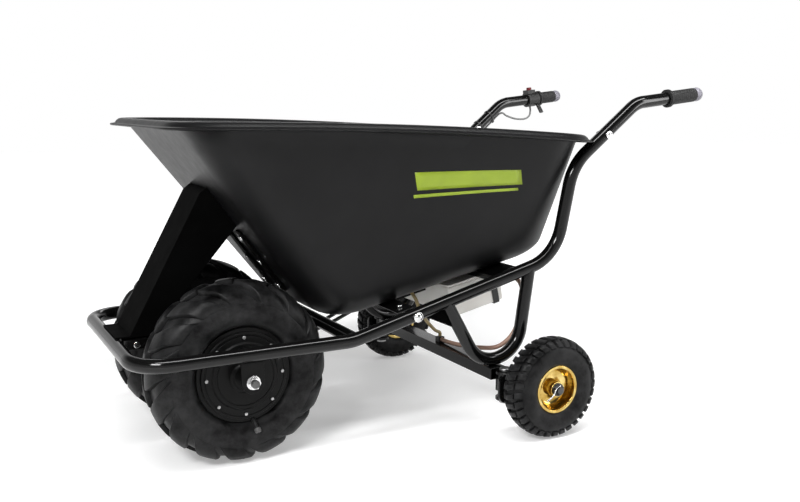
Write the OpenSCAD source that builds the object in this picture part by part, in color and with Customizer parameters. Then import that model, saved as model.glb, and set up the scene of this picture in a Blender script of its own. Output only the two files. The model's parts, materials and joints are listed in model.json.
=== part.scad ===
// Battery-driven four-wheel barrow: a steel tray on a bent-tube frame, two hub-motor front
// wheels, two swivelling rear wheels and a pair of push handles with a thumb throttle.
// +X points forward, +Y to the left and +Z up. The floor is at Z = 0.

/* [Front wheels] */
// Outside diameter of a front tyre
front_tyre_d = 360; // [350:1:370]
// Width of a front tyre over its lugs
front_tyre_w = 130; // [122:1:136]
// Clear gap between the front tyres
tyre_gap = 147; // [140:1:154]
// Lugs on each shoulder of a front tyre
front_lugs = 14; // [10:1:18]
// Height of a front lug
front_lug_h = 11; // [6:0.5:14]
// Diameter of the tyre's seat on the motor hub
hub_seat_d = 164; // [158:1:170]
// Diameter of the motor hub's flanges
hub_flange_d = 188; // [184:1:194]
// Width of the motor hub over its flanges
hub_w = 104; // [100:1:108]
// Diameter of the fixed motor axle
motor_axle_d = 16; // [14:0.5:18]
// Diameter of the circle of cover screws
cover_screw_pcd = 152; // [148:1:156]

/* [Rear wheels] */
// Outside diameter of a rear tyre
rear_tyre_d = 215; // [205:1:225]
// Width of a rear tyre
rear_tyre_w = 65; // [60:1:70]
// Distance from a rail out to the middle of its rear tyre
rear_out = 108; // [104:1:112]
// Distance from the front axle back to the rear axles
wheelbase = 617; // [610:1:624]
// Knobs round a rear tyre
rear_knobs = 32; // [24:1:36]
// Depth of a rear knob
rear_knob_h = 6; // [4:0.5:8]
// Diameter of the rear rim's flanges
rear_rim_d = 102; // [98:1:106]
// Diameter of a rear stub axle and of a kingpin
stub_d = 16; // [14:0.5:18]
// Distance from a kingpin back to its wheel axle
caster_trail = 72; // [66:1:76]

/* [Frame] */
// Outside diameter of the frame tubes
tube_d = 28; // [25:0.5:30]
// Wall of the frame tubes
tube_wall = 2; // [1.5:0.1:2.5]
// Distance from the middle of a front tyre out to its rail
rail_out = 101.5; // [98:0.5:106]
// Reach of the front loop ahead of the front axle
loop_reach = 226; // [220:1:250]
// Height of the level rails above the front axle
rail_rise = 53; // [50:1:58]
// Where the rails start to climb, behind the front axle
climb_back = 209; // [204:1:214]
// Climb of the rails towards the rear, in degrees
rail_slope = 14.5; // [14:0.1:15]
// Where the front loop ends and the side rails start, behind the front axle
split_back = 372; // [366:1:376]
// Corner where the side rails turn up, behind the front axle
upright_back = 707; // [704:1:712]
// Corner where the uprights turn back to the handles, behind the front axle
shoulder_back = 737; // [735:1:741]
// Height of that corner above the level rails
shoulder_rise = 331; // [325:1:335]
// Outward lean of the uprights, in degrees
upright_lean = 4.5; // [4:0.1:5.5]

/* [Handles] */
// Reach of the grip ends behind the front axle
grip_reach = 1106; // [1095:1:1125]
// Corner where a handle levels out, behind the front axle
handle_back = 906; // [900:1:912]
// Height of that corner above the level rails
handle_rise = 465; // [459:1:471]
// Climb of the grips towards the rear, in degrees
grip_slope = 6.2; // [5:0.1:8]
// Diameter of the grips
grip_d = 33; // [32:0.5:36]
// Length of the left grip
left_grip_l = 92; // [84:1:98]
// Length of the right grip
right_grip_l = 62; // [56:1:66]

/* [Tray] */
// Front of the tray's rim wall, ahead of the front axle
rim_front = 112; // [104:1:116]
// Back of the tray's rim wall, behind the front axle
rim_back = 784; // [780:1:786]
// Width over the tray's walls at the rim
rim_w = 580; // [570:1:586]
// Height of the rim wall at the front, above the level rails
rim_front_rise = 420; // [415:1:427]
// Fall of the rim towards the rear, in degrees
rim_fall = 2.5; // [2.3:0.1:2.7]
// Rise of the rim's middle above a straight line
rim_crown = 9; // [4:1:12]
// Width of the rolled lip
lip_w = 20; // [14:1:22]
// Height of the rolled lip
lip_h = 15; // [10:1:18]
// Front of the tray's floor, behind the front axle
floor_front = 187; // [184:1:192]
// Back of the tray's floor, behind the front axle
floor_back = 748; // [744:1:752]
// Width over the tray's walls at the floor
floor_w = 380; // [370:1:388]
// Height of the floor's middle line above the level rails, where the climb starts
floor_rise = 24; // [22.5:0.5:25.5]
// Climb of the floor towards the rear, in degrees
floor_slope = 12; // [11.8:0.1:12.2]
// Sheet thickness of the tray
tray_wall = 1.5; // [1.2:0.1:2.5]

/* [Power] */
// Length of the battery case along the floor
battery_l = 140; // [130:1:144]
// Width of the battery case
battery_w = 290; // [260:1:300]
// Height of the battery case
battery_h = 74; // [66:1:80]
// Wall of the battery case
case_wall = 3; // [2:0.5:4]

/* [Hidden] */
$fn = 48;

// Gap where two fixed pieces are welded or bolted together
seat = 0.2;
// Radial gap of a running fit
run = 0.05;
// Gap between pieces that pass each other
pass = 0.6;
// Overrun of a cut past the surface it opens
overrun = 5;
// A bend's section is this much thicker than the straight tube, each way
bend_swell = 0.1;
// Length by which a straight tube runs into its bend
bend_overlap = 1;
// Left is +1 and right is -1
sides = [1, -1];

// Heights and places that follow from the driving sizes
tube_r = tube_d / 2;
tube_bore = tube_d - 2 * tube_wall;
axle_z = front_tyre_d / 2;
rail_z = axle_z + rail_rise;
wheel_y = (tyre_gap + front_tyre_w) / 2;
rail_y = wheel_y + rail_out;
rear_y = rail_y + rear_out;
shoulder_z = rail_z + shoulder_rise;
handle_z = rail_z + handle_rise;
rim_front_z = rail_z + rim_front_rise;
floor_z = rail_z + floor_rise;
loop_x = loop_reach - tube_r;
shift = (grip_reach - loop_reach) / 2;
rear_z = rear_tyre_d / 2;

// Front loop
loop_corner_r = 70;
climb_bend_r = 120;
cross_tube_back = 217;
spigot_l = 42;
spigot_lip = 3;
joint_bolt_d = 10;
joint_nut_d = 21;
joint_nut_h = 12;
joint_bolt_in = 25;

// Side rails and handles
upright_bend_r = 100;
shoulder_bend_r = 110;
handle_bend_r = 70;
handle_split_share = 0.37;
handle_bolt_d = 8;
handle_nut_d = 16;
handle_nut_h = 8;
grip_flange_d = 44;
grip_flange_t = 6;
grip_bulb = 1;
bulb_steps = 6;

// Axle plates
axle_plate_w = 45;
axle_plate_t = 6;
inner_bar = 20;
inner_bar_wall = 2;
inner_bar_clear = 11.5;
nut_d = 24;
nut_h = 8;
nut_flange_d = 27;
nut_flange_h = 3;
axle_tail = 9;
axle_collar_d = 24;
inner_bar_y = (tyre_gap - inner_bar) / 2 - inner_bar_clear;

// Motor hub and cover
hub_flange_t = 6;
hub_disc_t = 6;
hub_barrel_wall = 13;
cover_edge_gap = 4;
cover_t = 5;
cover_disc_d = 130;
cover_disc_h = 4;
cover_boss_d = 52;
cover_boss_h = 4;
cover_bevel = 2;
cover_screw_count = 8;
cover_screw_d = 8;
cover_screw_h = 3;
stator_gap = 5;
stator_w = 60;
valve_d = 7;
valve_l = 20;
valve_angle = 96;

// Rear rim, hub and knuckle
rear_seat_d = 92;
rear_rim_w = 52;
rear_flange_t = 2.5;
rear_rim_wall = 2.5;
rear_disc_back = 4;
rear_disc_t = 3;
rear_hub_d = 34;
rear_hub_bore = 26;
bearing_w = 10;
stub_collar_d = 24;
stub_head_h = 3.5;
stub_tail = 10;
washer_d = 28;
washer_t = 2.5;
split_wire_d = 3;
split_ring_d = 22;
arm_plate_t = 6;
arm_plate_rise = 28;
arm_plate_drop = 34;
arm_plate_lead = 30;
arm_plate_tail = 28;
arm_corner_r = 16;
arm_gap = 12;
ear_r = 20;
ear_t = 6;
sleeve_wall = 7;
sleeve_clear = 3;
kingpin_head_h = 7;
kingpin_head_d = 24;
housing_web_w = 16;
housing_web_h = 34;

// Beam and legs
beam_w = 40;
beam_h = 25;
beam_wall = 2;
beam_rise = 16;
beam_end_gap = 4;
leg_bend_r = 72;
leg_front_back = 424;
leg_rear_back = 636;
gusset_t = 4;
gusset_l = 70;
gusset_h = 75;

// Tray, its bearers and the front support
floor_corner_r = 85;
rim_corner_r = 90;
floor_rear_r = 110;
rim_rear_r = 130;
floor_fillet = 45;
fillet_steps = 4;
corner_steps = 6;
side_steps = 6;
bearer_w = 40;
bearer_back = 330;
rear_bearer_back = 585;
rear_bearer_w = 68;
rear_bearer_t = 14;
support_clear = 13.5;
support_w = tyre_gap - 2 * support_clear;
support_t = 3;
support_foot_front = 186;
support_foot_back = 143;
support_foot_t = 3;
support_top_share = 0.7;
support_low_share = 0.5;
support_top_d = 18;
strap_w = 30;
strap_t = 4;
strap_y = 42;
strap_top_share = 0.47;
strap_low_share = 0.14;
bolt_head_d = 13;
bolt_head_h = 5;
strap_bolt_shares = [0.1, 0.5, 0.9];
bearer_bolt_in = 30;
bearer_bolt_y = rail_y - bearer_bolt_in;

// Battery and controller
battery_back = 553;
lid_t = 4;
cell_gap = 1;
strap_band_w = 16;
strap_band_t = 2;
strap_from_end = 24;
controller_l = 90;
controller_w = 110;
controller_h = 40;
controller_back = 432;
controller_fin_w = 5;
controller_fin_d = 8;
controller_fin_count = 7;

// Controls on the right handle
clamp_from = 82;
clamp_l = 26;
clamp_d = 40;
switch_w = 22;
switch_h = 12;
button_d = 14;
button_h = 12;
button_travel = 3;
button_proud = 7;
lever_l = 10;
lever_d = 38;
lever_reach = 46;
lever_t = 5;
lever_angle = 215;

// Cords: diameters, and routes as points from the front axle line
motor_cord_d = 8;
battery_cord_d = 8;
charge_cord_d = 10;
throttle_cord_d = 5;
cord_steps = 3;
motor_route = [[0, 31, 180], [0, 21, 180], [-8, 17, 182], [-40, 14, 190], [-130, 16, 203],
    [-217, 16, 203], [-300, 18, 232], [-340, 20, 256], [-372, 20, 271.2], [-391.6, 20, 275.3]];
battery_route = [[-432, 55.4, 282], [-432, 72, 281], [-440, 84, 264], [-455, 76, 236],
    [-478, 56, 212], [-500, 38, 192], [-528, 22, 168], [-546, 14, 158], [-547, 14, 148.7]];
charge_route = [[-547, 22.4, 142.4], [-547, 50, 143], [-549, 90, 146], [-553, 130, 150.5],
    [-560, 170, 156], [-577, 203, 163], [-598, 215, 178], [-615, 220, 200], [-626, 221, 228],
    [-633, 221, 262], [-637, 215, 287], [-645, 196, 301], [-655, 160, 308], [-660, 130, 311],
    [-652.4, 112, 309.7], [-630.5, 112, 305.1]];
throttle_route = [[-1002.6, -261.7, 688.1], [-1004, -261.7, 676], [-1000, -261.7, 663],
    [-985, -261.7, 655], [-955, -261.7, 655], [-925, -261.7, 663], [-902, -261, 670.5],
    [-862, -260, 639], [-822, -258, 607], [-784, -258, 570], [-763, -256, 535], [-756, -254, 500],
    [-745, -250, 440], [-737, -246, 405], [-734, -230, 378], [-730, -195, 354], [-716, -155, 340],
    [-690, -126, 320.7], [-652.4, -120, 309.7], [-630.5, -120, 305.1]];
tie_w = 5;
tie_t = 1.4;
tie_slack = 0.8;
tie_hang = 2.5;
tie_shares = [0.4, 0.72];
cable_block = [16, 16, 12];
cable_block_at = [-547, 14];

// Tyre sections from bead to middle, as shares of the half width and of the section height,
// then the shares of the lug's height and spread that each point takes, and its lug's lag in steps
front_tread_shares = [[0.69, 0, 0, 0, 0], [0.69, 0.15, 0, 0, 0], [0.96, 0.52, 0, 0, 0],
    [0.93, 0.76, 0.45, 0.07, 3], [0.8, 0.95, 0.75, 0.05, 2], [0.42, 1, 1, 0, 1], [0.08, 1, 1, 0, 0]];
front_cavity_shares = [[0.52, 0], [0.8, 0.5], [0, 0.88], [-0.8, 0.5], [-0.52, 0]];
rear_tread_shares = [[0.7, 0, 0, 0, 0], [0.7, 0.17, 0, 0, 0], [0.96, 0.55, 0, 0, 0],
    [0.86, 0.86, 0.9, 0.14, 0], [0.4, 1, 1, 0, 0]];
rear_cavity_shares = [[0.5, 0], [0.8, 0.5], [0, 0.82], [-0.8, 0.5], [-0.5, 0]];
front_lug_steps = 6;
rear_knob_steps = 3;

// Small vector tools
function unit(v) = v / norm(v);
function mix(a, b, t) = a + (b - a) * t;
function turned(a) = [cos(a), sin(a)];
function meet(p, d, q, e) = p + d * ((q - p).x * e.y - (q - p).y * e.x) / (d.x * e.y - d.y * e.x);

// Rail line, the uprights' lean and the tray's floor and front wall, in the axle's frame
function rail_line(x) = rail_z - (x + climb_back) * tan(rail_slope);
function lean_y(x, z) = rail_y + max(0, z - rail_line(x)) * cos(rail_slope) * tan(upright_lean);
function side_point(x, z, side) = [x, side * lean_y(x, z), z];
function rail_point(x, side) = [x, side * rail_y, rail_line(x)];
function floor_line(x) = floor_z - (x + climb_back) * tan(floor_slope);
function rim_line(x) = let (u = (rim_front - x) / (rim_front + rim_back))
    rim_front_z - (rim_front - x) * tan(rim_fall) + rim_crown * 4 * u * (1 - u);
function front_wall(s) = mix([-floor_front, floor_line(-floor_front)], [rim_front, rim_line(rim_front)], s);
wall_way = unit(front_wall(1) - front_wall(0));
wall_out = [wall_way.y, -wall_way.x];

// Tubes: the angle turned at a corner, the length its bend takes, and the runs between
function turn(p, i) = acos(unit(p[i] - p[i - 1]) * unit(p[i + 1] - p[i]));
function bend_take(p, r, i) = r[i] == 0 ? 0 : r[i] * tan(turn(p, i) / 2);

module frame_of(u, v, w, at) {
    multmatrix([[u.x, v.x, w.x, at.x], [u.y, v.y, w.y, at.y], [u.z, v.z, w.z, at.z]]) children();
}

module along(a, way) {
    across = abs(way.z) < cos(30) ? [0, 0, 1] : [1, 0, 0];
    u = unit(cross(across, way));
    frame_of(u, cross(way, u), way, a) children();
}

module tube_section(od, id) {
    difference() {
        circle(d = od);
        if (id > 0) circle(d = id);
    }
}

module bent_tube(p, r, od, id) {
    last = len(p) - 1;
    for (i = [0 : last - 1]) {
        way = unit(p[i + 1] - p[i]);
        a = p[i] + way * bend_take(p, r, i);
        b = p[i + 1] - way * bend_take(p, r, i + 1);
        a_in = i == 0 ? 0 : bend_overlap;
        b_in = i == last - 1 ? 0 : bend_overlap;
        along(a - way * a_in, way) linear_extrude(norm(b - a) + a_in + b_in) tube_section(od, id);
    }
    for (i = [1 : last - 1]) {
        before = unit(p[i] - p[i - 1]);
        after = unit(p[i + 1] - p[i]);
        inward = unit(after - before * (before * after));
        start = p[i] - before * bend_take(p, r, i);
        frame_of(-inward, before, cross(-inward, before), start + inward * r[i])
            rotate_extrude(angle = turn(p, i)) translate([r[i], 0])
                tube_section(od + 2 * bend_swell, id == 0 ? 0 : id - 2 * bend_swell);
    }
}

module rod(a, b, d) {
    along(a, unit(b - a)) cylinder(d = d, h = norm(b - a));
}

module pipe(a, b, od, id) {
    along(a, unit(b - a)) linear_extrude(norm(b - a)) tube_section(od, id);
}

// Upright sheets: a child outline in X and Z, given a thickness across Y
module upright_sheet(t, y) {
    translate([0, y, 0]) rotate([90, 0, 0]) linear_extrude(t, center = true) children();
}

// Rounds: a child section of radius and place, spun about an axis along Y
module about_y() {
    rotate([-90, 0, 0]) rotate_extrude() children();
}

module ring_y(from, to, od, id) {
    about_y() translate([id / 2, from]) square([(od - id) / 2, to - from]);
}

module round_rect(low, high, r) {
    translate([low.x, low.y + r]) square([high.x - low.x, high.y - low.y - 2 * r]);
    translate([low.x + r, low.y]) square([high.x - low.x - 2 * r, high.y - low.y]);
    for (x = [low.x + r, high.x - r], y = [low.y + r, high.y - r]) translate([x, y]) circle(r);
}

// Everything is laid out from the front axle line and moved so that the origin is central
module placed(side = 1) {
    translate([shift, 0, 0]) mirror([0, side < 0 ? 1 : 0, 0]) children();
}

// Frame tubes
function loop_path() = [rail_point(-split_back, 1), [-climb_back, rail_y, rail_z], [loop_x, rail_y, rail_z],
    [loop_x, -rail_y, rail_z], [-climb_back, -rail_y, rail_z], rail_point(-split_back, -1)];
loop_bends = [0, climb_bend_r, loop_corner_r, loop_corner_r, climb_bend_r, 0];
rail_way = [-cos(rail_slope), 0, sin(rail_slope)];
shoulder = side_point(-shoulder_back, shoulder_z, 1);
handle_corner = side_point(-handle_back, handle_z, 1);
handle_split = mix(shoulder, handle_corner, handle_split_share);
handle_way = unit(handle_corner - shoulder);
grip_way = [-cos(grip_slope), 0, sin(grip_slope)];
grip_end = (grip_reach - (grip_d + grip_bulb) / 2 - handle_back) / cos(grip_slope);
function grip_point(at) = handle_corner + grip_way * at;
rail_bends = [0, upright_bend_r, shoulder_bend_r, 0];
rail_path = [rail_point(-split_back, 1) + rail_way * seat, rail_point(-upright_back, 1), shoulder,
    handle_split];
joint_bolt_at = rail_point(-split_back, 1) - rail_way * joint_bolt_in;
handle_bolt_at = handle_split + handle_way * joint_bolt_in;
spigot_d = tube_bore - 2 * seat;
spigot_bore = spigot_d - 2 * tube_wall;

module cross_hole(at, d) {
    along(at - [0, tube_d, 0], [0, 1, 0]) cylinder(d = d, h = 2 * tube_d);
}

module front_loop() {
    color("black") placed() difference() {
        bent_tube(loop_path(), loop_bends, tube_d, tube_bore);
        for (s = sides) mirror([0, s < 0 ? 1 : 0, 0]) cross_hole(joint_bolt_at, joint_bolt_d + 2 * seat);
    }
}

module cross_tube() {
    end = rail_y - tube_r - seat;
    color("black") placed() pipe([-cross_tube_back, -end, rail_z], [-cross_tube_back, end, rail_z],
        tube_d, tube_bore);
}

// A spigot runs on from a tube's end: a collar joins it to the tube's wall
module spigot(at, way) {
    pipe(at - way * 2 * spigot_lip, at - way * spigot_lip, tube_bore + tube_wall, spigot_d - tube_wall);
    pipe(at - way * 3 * spigot_lip, at + way * spigot_l, spigot_d, spigot_bore);
}

module side_rail() {
    color("black") difference() {
        union() {
            bent_tube(rail_path, rail_bends, tube_d, tube_bore);
            spigot(rail_path[0], -rail_way);
            spigot(handle_split, handle_way);
        }
        cross_hole(joint_bolt_at, joint_bolt_d + 2 * seat);
        cross_hole(handle_bolt_at, handle_bolt_d + 2 * seat);
    }
}

module left_side_rail() {
    placed(1) side_rail();
}

module right_side_rail() {
    placed(-1) side_rail();
}

module handle() {
    tube_end = grip_point(grip_end - grip_d / 2);
    color("black") difference() {
        bent_tube([handle_split + handle_way * seat, handle_corner, tube_end], [0, handle_bend_r, 0],
            tube_d, tube_bore);
        cross_hole(handle_bolt_at, handle_bolt_d + 2 * seat);
    }
}

module left_handle() {
    placed(1) handle();
}

module right_handle() {
    placed(-1) handle();
}

// A through bolt with its head inside and a dome nut outside the tube
module through_bolt(at, d, nut_d, nut_h) {
    face = tube_r + seat;
    dome = nut_d / 2;
    translate(at) {
        ring_y(-face - nut_h / 2, face, d, 0);
        ring_y(-face - nut_h / 2, -face, nut_d, 0);
        ring_y(face, face + nut_h / 2, nut_d, 0);
        intersection() {
            translate([0, face + nut_h - dome, 0]) sphere(r = dome);
            ring_y(face + nut_h / 2, face + 2 * nut_h, nut_d, 0);
        }
    }
}

module frame_bolts() {
    color("silver") for (s = sides) placed(s) {
        through_bolt(joint_bolt_at, joint_bolt_d, joint_nut_d, joint_nut_h);
        through_bolt(handle_bolt_at, handle_bolt_d, handle_nut_d, handle_nut_h);
    }
}

// Grips slide over the handle ends and close them with a round end
module grip(l) {
    bore = tube_d / 2 + seat;
    bulb = (grip_d + grip_bulb) / 2;
    floor_at = l - grip_d / 2 + seat;
    color("dimgray") along(grip_point(grip_end - l), grip_way) rotate_extrude() polygon(concat(
        [[bore, floor_at], [bore, 0], [grip_flange_d / 2, 0], [grip_flange_d / 2, grip_flange_t],
            [grip_d / 2, grip_flange_t], [grip_d / 2, l - grip_flange_t]],
        [for (i = [0 : bulb_steps]) [bulb * cos(90 * i / bulb_steps), l + bulb * sin(90 * i / bulb_steps)]],
        [[0, floor_at]]));
}

module left_grip() {
    placed(1) grip(left_grip_l);
}

module right_grip() {
    placed(-1) grip(right_grip_l);
}

// Axle supports
module outer_axle_plates() {
    color("black") for (s = sides) placed(s) difference() {
        upright_sheet(axle_plate_t, rail_y) {
            translate([-axle_plate_w / 2, axle_z]) square([axle_plate_w, rail_rise]);
            translate([0, axle_z]) circle(d = axle_plate_w);
        }
        rod([-axle_plate_w, rail_y, rail_z], [axle_plate_w, rail_y, rail_z], tube_d + 2 * seat);
        translate([0, rail_y, rail_z + tube_r]) cube([2 * axle_plate_w, tube_d, tube_d], center = true);
        translate([0, rail_y, axle_z]) ring_y(-overrun, overrun, motor_axle_d + 2 * run, 0);
    }
}

module inner_axle_frame() {
    half = inner_bar / 2;
    front = loop_x - tube_r - seat;
    back = -cross_tube_back + tube_r + seat;
    color("black") for (s = sides) placed(s) difference() {
        union() {
            translate([back, inner_bar_y, rail_z]) rotate([0, 90, 0]) linear_extrude(front - back)
                difference() {
                    square(inner_bar, center = true);
                    square(inner_bar - 2 * inner_bar_wall, center = true);
                }
            upright_sheet(axle_plate_t, inner_bar_y) {
                translate([-axle_plate_w / 2, axle_z])
                    square([axle_plate_w, rail_rise - half + inner_bar_wall]);
                translate([0, axle_z]) circle(d = axle_plate_w);
            }
        }
        translate([0, inner_bar_y, axle_z]) ring_y(-overrun, overrun, motor_axle_d + 2 * run, 0);
    }
}

// Tray: outlines of the floor and the rim, joined by straight walls
function outline(back, front, half, front_r, back_r) = [for (k = [0 : 3])
    let (ahead = k == 0 || k == 3, r = ahead ? front_r : back_r, cx = ahead ? front - r : back + r,
        y = k < 2 ? half : -half, cy = k < 2 ? half - r : r - half)
    each concat(
        [for (i = [0 : corner_steps]) [cx, cy] + r * turned(90 * k + 90 * i / corner_steps)],
        k % 2 == 1 ? [] : [for (i = [1 : side_steps - 1])
            mix([cx, y], [k == 0 ? back + back_r : front - front_r, y], i / side_steps)])];
function floor_ring(inset) = [for (q = outline(inset - floor_back, -floor_front - inset,
    floor_w / 2 - inset, floor_corner_r - inset, floor_rear_r - inset)) [q.x, q.y, floor_line(q.x)]];
function rim_ring(inset) = [for (q = outline(inset - rim_back, rim_front - inset,
    rim_w / 2 - inset, rim_corner_r - inset, rim_rear_r - inset)) [q.x, q.y, rim_line(q.x)]];
function tray_ring(s, inset, lift) = let (a = floor_ring(inset), b = rim_ring(inset))
    [for (k = [0 : len(a) - 1]) mix(a[k], b[k], s) + [0, 0, lift]];
tray_depth = rim_front_z - floor_z;
function fillet_rings(r, inset, lift) = [for (k = [0 : fillet_steps]) let (a = 90 * k / fillet_steps)
    tray_ring(r * (1 - cos(a)) / tray_depth, inset + r * (1 - sin(a)), lift * cos(a))];

module loft(rings) {
    m = len(rings[0]);
    n = len(rings);
    polyhedron([for (ring = rings) each ring], concat([[for (j = [0 : m - 1]) j]],
        [for (i = [0 : n - 2], j = [0 : m - 1]) let (l = (j + 1) % m)
            each [[i * m + j, i * m + m + j, i * m + m + l], [i * m + j, i * m + m + l, i * m + l]]],
        [[for (j = [m - 1 : -1 : 0]) (n - 1) * m + j]]));
}

module tray() {
    lip = lip_w - lip_h / 2;
    outer = fillet_rings(floor_fillet, 0, 0);
    inner = fillet_rings(floor_fillet - tray_wall, tray_wall, tray_wall);
    color("dimgray") placed() loft(concat(outer,
        [tray_ring(1, 0, 0), tray_ring(1, -lip, lip_h / 4), tray_ring(1, -lip_w, lip_h / 2),
            tray_ring(1, -lip_w, lip_h), tray_ring(1, tray_wall - lip_w, lip_h),
            tray_ring(1, tray_wall - lip, lip_h / 2), tray_ring(1, tray_wall, tray_wall)],
        [for (k = [len(inner) - 1 : -1 : 0]) inner[k]]));
}

// Bars under the tray, laid along its floor
module on_floor(x) {
    translate([x, 0, floor_line(x)]) rotate([0, floor_slope, 0]) children();
}

module front_bearer() {
    edge = -bearer_back - bearer_w / 2;
    drop = floor_line(edge) - rail_line(edge) - tube_r / cos(rail_slope);
    color("black") placed() on_floor(-bearer_back)
        translate([-bearer_w / 2, -rail_y, -drop + 2 * seat])
            cube([bearer_w, 2 * rail_y, drop - 3 * seat]);
}

module rear_bearer() {
    color("black") placed() difference() {
        on_floor(-rear_bearer_back) translate([0, 0, -rear_bearer_t / 2 - seat]) rotate([90, 0, 0])
            linear_extrude(2 * rail_y, center = true) difference() {
                square([rear_bearer_w, rear_bearer_t], center = true);
                square([rear_bearer_w - 2 * beam_wall, rear_bearer_t - 2 * beam_wall], center = true);
            }
        for (s = sides) rod(rail_point(-split_back, s), rail_point(-upright_back, s), tube_d + 2 * seat);
    }
}

// Folded channel between the wheels that props the tray's front wall
module front_support() {
    foot_z = rail_z + tube_r + seat;
    top = front_wall(support_top_share) + wall_out * seat;
    low = front_wall(support_low_share) + wall_out * seat;
    brow = top + wall_out * support_top_d;
    toe = [support_foot_front, foot_z];
    web_in = unit([toe.y - brow.y, brow.x - toe.x]) * support_t;
    color("black") placed() {
        for (s = sides) upright_sheet(support_t, s * (support_w - support_t) / 2)
            polygon([toe, brow, top, low, [support_foot_back, foot_z]]);
        upright_sheet(support_w, 0) polygon([toe, brow, brow + web_in, toe + web_in]);
        upright_sheet(support_w, 0)
            polygon([brow, top, top - wall_way * support_t, brow - wall_way * support_t]);
        translate([support_foot_back, -support_w / 2, foot_z])
            cube([loop_x - support_foot_back, support_w, support_foot_t]);
    }
}

module wall_straps() {
    a = front_wall(strap_top_share) + wall_out * seat;
    b = front_wall(strap_low_share) + wall_out * seat;
    color("black") placed() for (s = sides) upright_sheet(strap_w, s * strap_y)
        polygon([a, b, b + wall_out * strap_t, a + wall_out * strap_t]);
}

module tray_bolts() {
    color("silver") placed() for (s = sides) {
        for (share = strap_bolt_shares) {
            at = front_wall(mix(strap_low_share, strap_top_share, share)) + wall_out * (strap_t + 2 * seat);
            along([at.x, s * strap_y, at.y], [wall_out.x, 0, wall_out.y])
                cylinder(d = bolt_head_d, h = bolt_head_h);
        }
        on_floor(-bearer_back) translate([0, s * bearer_bolt_y, 0])
            cylinder(d = bolt_head_d, h = bolt_head_h);
        translate([support_foot_front - bolt_head_d, s * (inner_bar_y + inner_bar / 2 + seat), rail_z])
            mirror([0, s < 0 ? 1 : 0, 0]) ring_y(0, bolt_head_h, bolt_head_d, 0);
    }
}

// Rear cross beam, the legs that stand on it and their gussets
kingpin_x = caster_trail - wheelbase;
sleeve_d = stub_d + 2 * sleeve_wall;
arm_y = rear_y - rear_rim_w / 2 - arm_gap;
kingpin_y = arm_y - arm_plate_t - sleeve_clear - sleeve_d / 2;
beam_end = kingpin_y - ear_r - beam_end_gap;
beam_top = rear_z + beam_rise + beam_h / 2;
leg_centre = [kingpin_x, beam_top + seat + tube_r + leg_bend_r];
leg_front = [-leg_front_back, rail_line(-leg_front_back)];
leg_rear = [-leg_rear_back, rail_line(-leg_rear_back)];
function aim(p, c) = atan2(c.y - p.y, c.x - p.x);
function swing(p, c) = asin(leg_bend_r / norm(c - p));
leg_front_way = turned(aim(leg_front, leg_centre) + swing(leg_front, leg_centre));
leg_rear_way = turned(aim(leg_rear, leg_centre) - swing(leg_rear, leg_centre));
leg_corner = meet(leg_front, leg_front_way, leg_rear, leg_rear_way);
leg_path = [for (q = [leg_front, leg_corner, leg_rear]) [q.x, rail_y, q.y]];

module leg() {
    color("black") difference() {
        bent_tube(leg_path, [0, leg_bend_r, 0], tube_d, tube_bore);
        rod(rail_point(-split_back, 1), rail_point(-upright_back, 1), tube_d + 2 * seat);
    }
}

module left_leg() {
    placed(1) leg();
}

module right_leg() {
    placed(-1) leg();
}

module leg_gussets() {
    ahead = leg_front - [rail_way.x, rail_way.z] * gusset_l;
    below = leg_front + leg_front_way * gusset_h;
    color("black") for (s = sides) placed(s) difference() {
        upright_sheet(gusset_t, rail_y) polygon([leg_front, ahead, below]);
        rod(rail_point(-climb_back - climb_bend_r, 1), rail_point(-upright_back, 1), tube_d + 2 * seat);
        rod(leg_path[0], leg_path[1], tube_d + 2 * seat);
    }
}

module rear_beam() {
    color("black") placed() translate([kingpin_x, 0, beam_top - beam_h / 2]) rotate([90, 0, 0])
        linear_extrude(2 * beam_end, center = true) difference() {
            square([beam_w, beam_h], center = true);
            square([beam_w - 2 * beam_wall, beam_h - 2 * beam_wall], center = true);
        }
}

// Knuckles: the plate's top and foot, with an ear at each, hold a sleeve between them
ear_top = rear_z + arm_plate_rise;
ear_foot = rear_z - arm_plate_drop;
sleeve_low = ear_foot + ear_t + pass;
sleeve_high = ear_top - ear_t - pass;

module kingpin_housings() {
    web_z = (sleeve_low + sleeve_high) / 2;
    color("black") for (s = sides) placed(s) difference() {
        union() {
            translate([kingpin_x, kingpin_y, sleeve_low])
                cylinder(d = sleeve_d, h = sleeve_high - sleeve_low);
            translate([kingpin_x - housing_web_w / 2, beam_end + seat, web_z - housing_web_h / 2])
                cube([housing_web_w, kingpin_y - beam_end, housing_web_h]);
        }
        translate([kingpin_x, kingpin_y, sleeve_low - overrun])
            cylinder(d = stub_d + 2 * run, h = sleeve_high - sleeve_low + 2 * overrun);
    }
}

module caster_arm() {
    color("black") difference() {
        union() {
            upright_sheet(arm_plate_t, arm_y - arm_plate_t / 2)
                round_rect([-wheelbase - arm_plate_tail, ear_foot], [kingpin_x + arm_plate_lead, ear_top],
                    arm_corner_r);
            for (z = [ear_foot, ear_top - ear_t]) {
                translate([kingpin_x, kingpin_y, z]) cylinder(r = ear_r, h = ear_t);
                translate([kingpin_x - ear_r / 2, kingpin_y, z])
                    cube([ear_r, arm_y - arm_plate_t / 2 - kingpin_y, ear_t]);
            }
        }
        translate([kingpin_x, kingpin_y, ear_foot - overrun])
            cylinder(d = stub_d + 2 * run, h = ear_top - ear_foot + 2 * overrun);
        translate([-wheelbase, arm_y, rear_z]) ring_y(-2 * arm_plate_t, overrun, stub_d + 2 * run, 0);
    }
}

module left_caster_arm() {
    placed(1) caster_arm();
}

module right_caster_arm() {
    placed(-1) caster_arm();
}

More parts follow.
